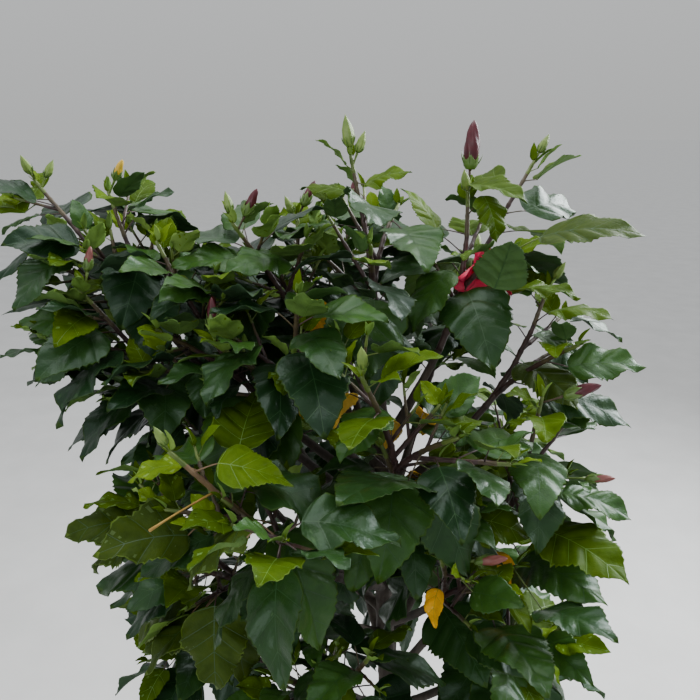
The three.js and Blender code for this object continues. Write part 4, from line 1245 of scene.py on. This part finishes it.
def bump(tree, *reliefs):
    """Reliefs one on another, each with its height, strength and depth."""
    before = None
    for height, strength, distance in reliefs:
        node = tree.nodes.new("ShaderNodeBump")
        node.inputs["Strength"].default_value = strength
        node.inputs["Distance"].default_value = distance
        tree.links.new(height, node.inputs["Height"])
        if before is not None:
            tree.links.new(before, node.inputs["Normal"])
        before = node.outputs["Normal"]
    return before


def mixed(tree, blend):
    node = tree.nodes.new("ShaderNodeMix")
    node.data_type, node.blend_type = "RGBA", blend
    return node


def leaf_material(name, base, rough, coat, warm, gloss):
    """A blade's face: a little paler and a little warmer in patches, with a fine net of veinlets."""
    made, tree, node = shader(name, rough, Coat_Weight=coat, Coat_Roughness=0.14, Specular_IOR_Level=gloss,
                              Specular_Tint=(0.72, 1.0, 0.93, 1.0))
    shade, tint = [c * 0.74 for c in base], (base[0] * (1 + warm), base[1] * 1.12, base[2] * 0.95)
    colour = ramp(tree, noise(tree, 62.0, 5.0, 0.62), [(0.30, shade), (0.50, base), (0.72, tint)])
    tree.links.new(colour, node.inputs["Base Color"])
    net = texture(tree, "ShaderNodeTexVoronoi", 420.0)
    net.feature = "DISTANCE_TO_EDGE"
    relief = bump(tree, (noise(tree, 62.0, 2.0), 0.42, 0.0026), (noise(tree, 190.0, 2.0), 0.34, 0.0012),
                  (net.outputs["Distance"], 0.34, 0.0006))
    tree.links.new(relief, node.inputs["Normal"])
    return made


# Plain materials: the darker and the paler colour of the grain, the roughness, and the grain's own scale,
# strength and depth where it isn't the usual one
USUAL_GRAIN = (90.0, 0.25, 0.0006)
PLAIN = {
    "stem_young": ((0.080, 0.130, 0.025), (0.140, 0.190, 0.040), 0.40),
    "stem_half": ((0.050, 0.034, 0.022), (0.090, 0.070, 0.030), 0.42),
    "stem_old": ((0.030, 0.014, 0.016), (0.075, 0.040, 0.034), 0.45),
    "stem_tan": ((0.140, 0.085, 0.045), (0.230, 0.150, 0.080), 0.50),
    "stem_straw": ((0.300, 0.170, 0.030), (0.420, 0.260, 0.055), 0.60),
    "vein_dark": ((0.014, 0.062, 0.016), (0.024, 0.080, 0.020), 0.45),
    "vein_light": ((0.090, 0.205, 0.026), (0.125, 0.250, 0.036), 0.45),
    "bud_stalk": ((0.10, 0.17, 0.03), (0.17, 0.25, 0.05), 0.4),
    "stalk_purple": ((0.05, 0.03, 0.02), (0.09, 0.06, 0.03), 0.4),
    "calyx": ((0.070, 0.140, 0.025), (0.120, 0.210, 0.040), 0.4),
    "bud_red": ((0.048, 0.003, 0.009), (0.100, 0.007, 0.017), 0.42),
    "bud_pink": ((0.170, 0.048, 0.044), (0.260, 0.085, 0.070), 0.42),
    "bud_yellow": ((0.62, 0.38, 0.03), (0.80, 0.55, 0.06), 0.42),
    "bud_green": ((0.13, 0.22, 0.04), (0.22, 0.32, 0.07), 0.42),
    "petal": ((0.60, 0.010, 0.060), (0.84, 0.024, 0.110), 0.46),
    "anther": ((0.70, 0.46, 0.08), (0.85, 0.62, 0.16), 0.6),
    "soil": ((0.016, 0.011, 0.008), (0.060, 0.042, 0.030), 0.95, 130.0, 0.8, 0.002),
    "soil_grit": ((0.30, 0.26, 0.21), (0.46, 0.42, 0.36), 0.9),
    "floor_paint": ((0.62, 0.62, 0.61), (0.68, 0.68, 0.67), 0.8, 6.0, 0.02, 0.001),
}
FLOWER_KINDS = ["bud_stalk", "calyx", "bud_red", "bud_pink", "bud_yellow", "bud_green", "petal", "anther"]


def plain_material(name):
    low, high, rough, *own = PLAIN[name]
    scale, strength, distance = own or USUAL_GRAIN
    made, tree, node = shader(name, rough)
    grain = noise(tree, scale)
    tree.links.new(ramp(tree, grain, [(0.3, low), (0.7, high)]), node.inputs["Base Color"])
    tree.links.new(bump(tree, (grain, strength, distance)), node.inputs["Normal"])
    return made


# Blades by tint: the colour of the upper face and of the underside
# deep, dark, mid and lit are one leaf green with painted shade in deep and dark and painted light in lit
TINTS = {
    "deep": ((0.007, 0.026, 0.006), (0.030, 0.065, 0.028)),
    "dark": ((0.015, 0.047, 0.008), (0.042, 0.088, 0.032)),
    "mid": ((0.030, 0.084, 0.011), (0.060, 0.125, 0.036)),
    "olive": ((0.037, 0.064, 0.008), (0.075, 0.120, 0.030)),
    "lit": ((0.048, 0.092, 0.004), (0.105, 0.200, 0.042)),
    "fresh": ((0.068, 0.126, 0.003), (0.140, 0.255, 0.045)),
    "young": ((0.118, 0.200, 0.008), (0.190, 0.310, 0.060)),
    "yellow": ((0.780, 0.400, 0.012), (0.760, 0.470, 0.060)),
}
DARK_TINTS = ("deep", "dark", "mid")
# Blades of these tints get the pale veins: the young, fresh and yellow ones by their own colour, the lit ones
# as painted light
PALE_VEINED = ("lit", "fresh", "young", "yellow")
# Roughness, coat, warmth of the patches and gloss of a blade's faces
DARK_FACE = (0.36, 0.08, 0.25, 0.28)
LIGHT_FACE = (0.44, 0.0, 0.25, 0.05)
UNDERSIDE = (0.62, 0.0, 0.15, 0.2)
MARGIN = (0.45, 0.0, 0.15, 0.2)


def foliage_kinds():
    kinds = {}
    for tint, (top, under) in TINTS.items():
        dark = tint in DARK_TINTS
        # The rim is painted paler, as painted light caught along the toothed edge: toward the lit tint on dark
        # blades and toward the young green on the others
        edge = [0.6 * a + 0.4 * b for a, b in zip(top, TINTS["lit" if dark else "young"][0])]
        faces = [leaf_material("leaf_" + tint, top, *(DARK_FACE if dark else LIGHT_FACE)),
                 leaf_material("leaf_" + tint + "_underside", under, *UNDERSIDE),
                 leaf_material("leaf_" + tint + "_margin", edge, *MARGIN)]
        kinds[tint] = Kind("leaves_" + tint, faces, "foliage")
    return kinds


def bark_material():
    made, tree, node = shader("bark", 0.82)
    broad = noise(tree, 22.0, 5.0, 0.6, (1, 1, 0.35))
    grain = noise(tree, 160.0, 6.0, 0.7, (1, 1, 0.25))
    mix = mixed(tree, "MULTIPLY")
    mix.inputs["Factor"].default_value = 0.75
    tree.links.new(ramp(tree, broad, [(0.30, (0.035, 0.026, 0.021)), (0.52, (0.075, 0.058, 0.047)),
                                      (0.70, (0.150, 0.125, 0.105))]), mix.inputs["A"])
    tree.links.new(ramp(tree, grain, [(0.35, (0.45, 0.42, 0.40)), (0.65, (1.0, 1.0, 1.0))]), mix.inputs["B"])
    tree.links.new(mix.outputs["Result"], node.inputs["Base Color"])
    tree.links.new(bump(tree, (broad, 0.4, 0.003), (grain, 0.7, 0.0012)), node.inputs["Normal"])
    return made


def clay_material():
    """Terracotta, cloudy, with a pale bloom of lime."""
    made, tree, node = shader("clay", 0.86)
    cloud = noise(tree, 9.0, 6.0, 0.6)
    grit = noise(tree, 240.0, 4.0, 0.65)
    lime = noise(tree, 16.0, 8.0, 0.68)
    mix = mixed(tree, "MIX")
    share = ramp(tree, lime, [(0.44, (0.0, 0.0, 0.0)), (0.80, (0.26, 0.26, 0.26))])
    tree.links.new(share, mix.inputs["Factor"])
    tree.links.new(ramp(tree, cloud, [(0.30, (0.335, 0.115, 0.054)), (0.52, (0.410, 0.150, 0.072)),
                                      (0.72, (0.465, 0.190, 0.098))]), mix.inputs["A"])
    mix.inputs["B"].default_value = (0.62, 0.50, 0.42, 1)
    tree.links.new(mix.outputs["Result"], node.inputs["Base Color"])
    tree.links.new(bump(tree, (cloud, 0.15, 0.003), (grit, 0.45, 0.0006)), node.inputs["Normal"])
    return made


# The plant: how the most prominent of the leaves that show plainly are folded and twisted
SHOWN_LOOKS = {
    ("right_high", 2, 0): dict(fold=0.14, skew=-0.9, twist=0.1, wave=0.05, waves=2.6, curl=0.12),
    ("front_left", 0, 1): dict(fold=0.20, skew=-1.0, twist=-0.6),
    ("front_left", 0, 5): dict(fold=0.42, skew=-0.8, twist=0.2),
    ("front_left", 0, 3): dict(fold=0.10, skew=0.2, pleat=0.026),
}
# Boughs and shoots that show between the leaves
SEEN_BOUGHS = ["right_high", "right_mid", "right_low", "leader", "back_left"]
SEEN_SHOOTS = [("right_high", 0), ("right_high", 2), ("right_mid", 0), ("right_low", 0), ("leader", 0),
               ("back_left", 0), ("front_left", 0), ("left_low", 0), ("left_high", 0)]

# Leaves that have turned yellow inside the crown: the ones nearest to these spots
FADED = [(-91, -145, 1106), (33, -94, 1115), (-12, -80, 1087), (-74, -102, 1092),
         (29, -53, 989), (25, -205, 914), (-79, -52, 1158), (118, -122, 869)]
# A faded leaf is limp and has drawn in
LIMP = dict(rise=-0.9, roll=0.4, length=0.54, width=0.50, sag=1.2)
# A dry stalk that has lost its blade: bough, shoot, place along it, bearing, rise and length
DRY_STALK = ("front_left", 0, 0.775, 230, -5, 70)
DRY_RADII = [1.5, 1.05, 0.95, 0.95, 1.0, 1.4]
# Masses at the front on the left, with olive leaves and tan stalks
FRONT = ("front_left", "left_low")


def tint_of(leaf, chance):
    """Young leaves are bright. Old ones get painted shade to the left and lower down, and painted light to the
    right, where the window is, and higher up.
    """
    if leaf.age < 0.6 or (leaf.owner == "front_left" and leaf.age < 2.5 and leaf.foot[0] < -185):
        return "young" if chance < 0.5 else "fresh"
    if leaf.age < 2.3:
        return "fresh" if chance < (0.55 if leaf.age < 1.3 else 0.2) else "lit" if chance < 0.7 else "mid"
    if leaf.owner in FRONT and chance < 0.4:
        return "olive"
    # How much painted light a leaf gets: more to the right toward the window and higher up, painted shade to
    # the left and lower down
    bright = 0.25 + 0.0020 * leaf.foot[0] + 0.0008 * (leaf.foot[2] - 1050) + (0.25 if leaf.age < 3.5 else 0)
    scale = chance + bright * 0.6
    return "deep" if scale < 0.45 else "dark" if scale < 0.90 else "mid" if scale < 1.20 else "lit"


def look_of(leaf, draw):
    """How one blade is folded, curled, pleated and waved. Young blades are folded more."""
    old = min(1.0, leaf.age / 4)
    return dict(waves=draw.between(1.4, 2.8), phase=draw.number(), odd=draw.between(0, 1),
                fold=draw.between(0.06, 0.30) + 0.25 * (1 - old), curl=draw.between(0.05, 0.34),
                pleat=draw.between(0.0115, 0.0200), wave=draw.between(0.05, 0.19),
                twist=draw.between(-0.35, 0.35), skew=draw.between(-0.8, 0.8), broad=draw.between(1.06, 1.30))


def shrunk(leaf):
    droop = held(unit(leaf.blade * np.array([1, 1, 0]) + LEVEL * 1e-3), LIMP["rise"], LIMP["roll"])
    length, width = LIMP["length"] * leaf.length, LIMP["width"] * leaf.width
    return Leaf(leaf.root, leaf.out, droop, length, width, leaf.stalk, LIMP["sag"], leaf.age, leaf.owner)


def grow_plant():
    """Everything that grows, in the order of the draws."""
    space, draw = Space(), Draw(SEED)
    limbs, shoots = grow_shoots(space, draw)
    leads = {row[0]: [limb for name, limb, _, _ in shoots if name == row[0]] for row in BOUGHS}
    buds = grow_buds(space, leads)
    bloom = grow_bloom(space, leads)
    shown = grow_shown(space, leads)
    grow_twigs(space, draw, shoots)
    crowned = {(name, row[0]) for name, rows in BUDS.items() for row in rows if row[1] < 5}
    leaves = grow_leaves(space, draw, shoots, shown, crowned)
    shown[PAST_BLOOM[:3]] = grow_past_bloom(space, leads)
    leaves.append(shown[PAST_BLOOM[:3]])
    fine = Draw(FINE_SEED)
    stems = [limbs[name] for name in SEEN_BOUGHS] + [leads[name][order] for name, order in SEEN_SHOOTS]
    view = plain_view(shown.values(), stems)
    leaves += grow_between(space, fine, shoots, view)
    spurs, spur_leaves = grow_spurs(space, fine, shoots, view)
    leaves += spur_leaves
    return limbs, leads, shoots + spurs, buds, bloom, shown, leaves


def dress_leaves(blades, veins, stalks, leaves, shown, draw):
    plain = {id(leaf): key for key, leaf in shown.items()}
    tints = {row[:3]: row[-1] for row in [*SHOWN, PAST_BLOOM]}
    middles = np.array([leaf.spine(0.5) for leaf in leaves])
    faded = {id(leaves[int(np.argmin(lengths(middles - spot)))]) for spot in FADED}
    for leaf in leaves:
        chance = draw.number()
        key = plain.get(id(leaf))
        tint = "yellow" if id(leaf) in faded else tints[key] if key else tint_of(leaf, chance)
        if tint == "yellow":
            leaf, key = shrunk(leaf), None
        look = look_of(leaf, draw)
        if key:
            look.update(broad=1.12, fold=0.5 * look["fold"] + 0.06)
            look.update(SHOWN_LOOKS.get(key, {}))
        shell = SHOWN_SHELL if key else next(shell for least, shell in SHELLS if leaf.length > least)
        points, surface = shell.points(leaf, look)
        blades[tint].add(points, shell.faces, shell.marks)
        add_veins(veins["light" if tint in PALE_VEINED else "dark"], shell, surface, leaf)
        tan = leaf.owner in FRONT and chance < 0.5
        add_petiole(stalks, leaf, TAN if tan else YOUNG if leaf.age < 2 else HALF if chance < 0.35 else OLD)


def dress_shoots(blades, twigs, stalks, shoots, draw):
    for number, (name, limb, order, _) in enumerate(shoots):
        if order >= 0:
            ages = LEAD_AGES + BETWEEN_LEAD
        else:
            ages = TWIG_AGES + BETWEEN_TWIG if order == -1 else SPUR["ages"]
        gaps = [leaf_gap(age) for age in ages]
        nodes = [1 - gap / limb.length for gap in gaps if gap < limb.length * LEAF_HOLD["last"]]
        marks = (YOUNG, TAN, TAN) if name == "front_left" and order == 0 else (YOUNG, HALF, OLD)
        add_shoot(twigs, limb, LEAD_SKIN if order >= 0 else TWIG_SKIN, nodes, marks, number * 1.7)
        add_tuft(blades["young" if order == 0 else "fresh"], stalks, limb, draw, 3 if order >= 0 else 2)


def build_foliage(leads, shoots, buds, bloom, shown, leaves):
    draw = Draw(LOOK_SEED)
    blades = foliage_kinds()
    skins = [plain_material(name) for name in SKINS]
    twigs, stalks = (Kind(name, skins, "foliage") for name in ("twigs", "leaf_stalks"))
    veins = {hue: Kind("veins_" + hue, [plain_material("vein_" + hue)], "foliage")
             for hue in ("dark", "light")}
    dress_leaves(blades, veins, stalks, leaves, shown, draw)
    dress_shoots(blades, twigs, stalks, shoots, draw)

    name, order, t, bearing, rise, long = DRY_STALK
    root, way = leads[name][order].spot(t), heading(bearing, rise)
    dry = bezier(root, root + way * (0.5 * long) + UP * 2.0, root + way * long, len(DRY_RADII))
    stalks.add(*tube(dry, DRY_RADII, 6), STRAW)

    flower = {name: Kind(name, [plain_material(name)], "foliage") for name in FLOWER_KINDS}
    flower["bud_stalk"].materials.append(plain_material("stalk_purple"))
    for bud in buds:
        add_bud(flower, bud, draw)
    add_bloom(flower, bloom, draw)
    for kind in [*blades.values(), twigs, stalks, *veins.values(), *flower.values()]:
        kind.emit(nodes_named("foliage_"))


def build_wood(limbs):
    wood = Kind("trunk_and_boughs", [bark_material()], "bark")
    add_trunk(wood)
    for number, limb in enumerate(limbs.values()):
        add_bough(wood, limb, BOUGH_BARK["seed"] + BOUGH_BARK["next_seed"] * number)
    wood.emit(["trunk", *nodes_named("bough_")])


def build_pot():
    pot = Kind("clay_pot", [clay_material()], "clay")
    add_pot(pot)
    pot.emit(["pot"])
    earth = Kind("potting_soil", [plain_material("soil"), plain_material("soil_grit")], "soil")
    add_soil(earth, Draw(SOIL_SEED))
    earth.emit(["soil"])


# The stage: a plain pale floor, soft light from above right as by a window, and the photo's standpoint
FLOOR_HALF = 60.0
SKY = dict(strength=0.90, shades=[(0.0, (0.59, 0.60, 0.60)), (0.5, (0.86, 0.88, 0.90))])
# Each light's name, spot, goal, size, power and colour
LIGHTS = [
    ("window", (1.5, 1.0, 2.1), (0, 0, 1.1), 1.6, 95, (0.95, 0.98, 1.0)),
    ("ceiling", (-0.2, 0.3, 3.0), (0, 0, 1.0), 2.2, 35, (1.0, 0.99, 0.96)),
    ("room_fill", (-1.4, -2.2, 1.7), (0, 0, 1.0), 1.8, 18, (1.0, 0.98, 0.95)),
]


def build_stage():
    mesh = bpy.data.meshes.new("floor")
    corners = [(x * FLOOR_HALF, y * FLOOR_HALF, 0) for x, y in ((-1, -1), (1, -1), (1, 1), (-1, 1))]
    mesh.from_pydata(corners, [], [(0, 1, 2, 3)])
    mesh.materials.append(plain_material("floor_paint"))
    floor = put("floor", mesh)

    world = bpy.data.worlds.new("room")
    bpy.context.scene.world = world
    world.use_nodes = True
    tree = world.node_tree
    sky = tree.nodes["Background"]
    sky.inputs["Strength"].default_value = SKY["strength"]
    split = tree.nodes.new("ShaderNodeSeparateXYZ")
    tree.links.new(tree.nodes.new("ShaderNodeTexCoord").outputs["Generated"], split.inputs["Vector"])
    tree.links.new(ramp(tree, split.outputs["Z"], SKY["shades"]), sky.inputs["Color"])

    for name, spot, goal, size, power, colour in LIGHTS:
        lamp = bpy.data.lights.new(name, "AREA")
        lamp.shape, lamp.size, lamp.energy, lamp.color = "DISK", size, power, colour
        made = put(name, lamp)
        made.location = spot
        made.rotation_euler = (Vector(goal) - Vector(spot)).to_track_quat("-Z", "Y").to_euler()

    eye = bpy.data.cameras.new("eye")
    eye.lens, eye.sensor_width = 36, 36
    camera = put("eye", eye)
    camera.location = EYE * MM
    camera.rotation_euler = (math.pi / 2 - EYE_TILT, 0, 0)
    bpy.context.scene.camera = camera


limbs, leads, *rest = grow_plant()
build_foliage(leads, *rest)
build_wood(limbs)
build_pot()
build_stage()
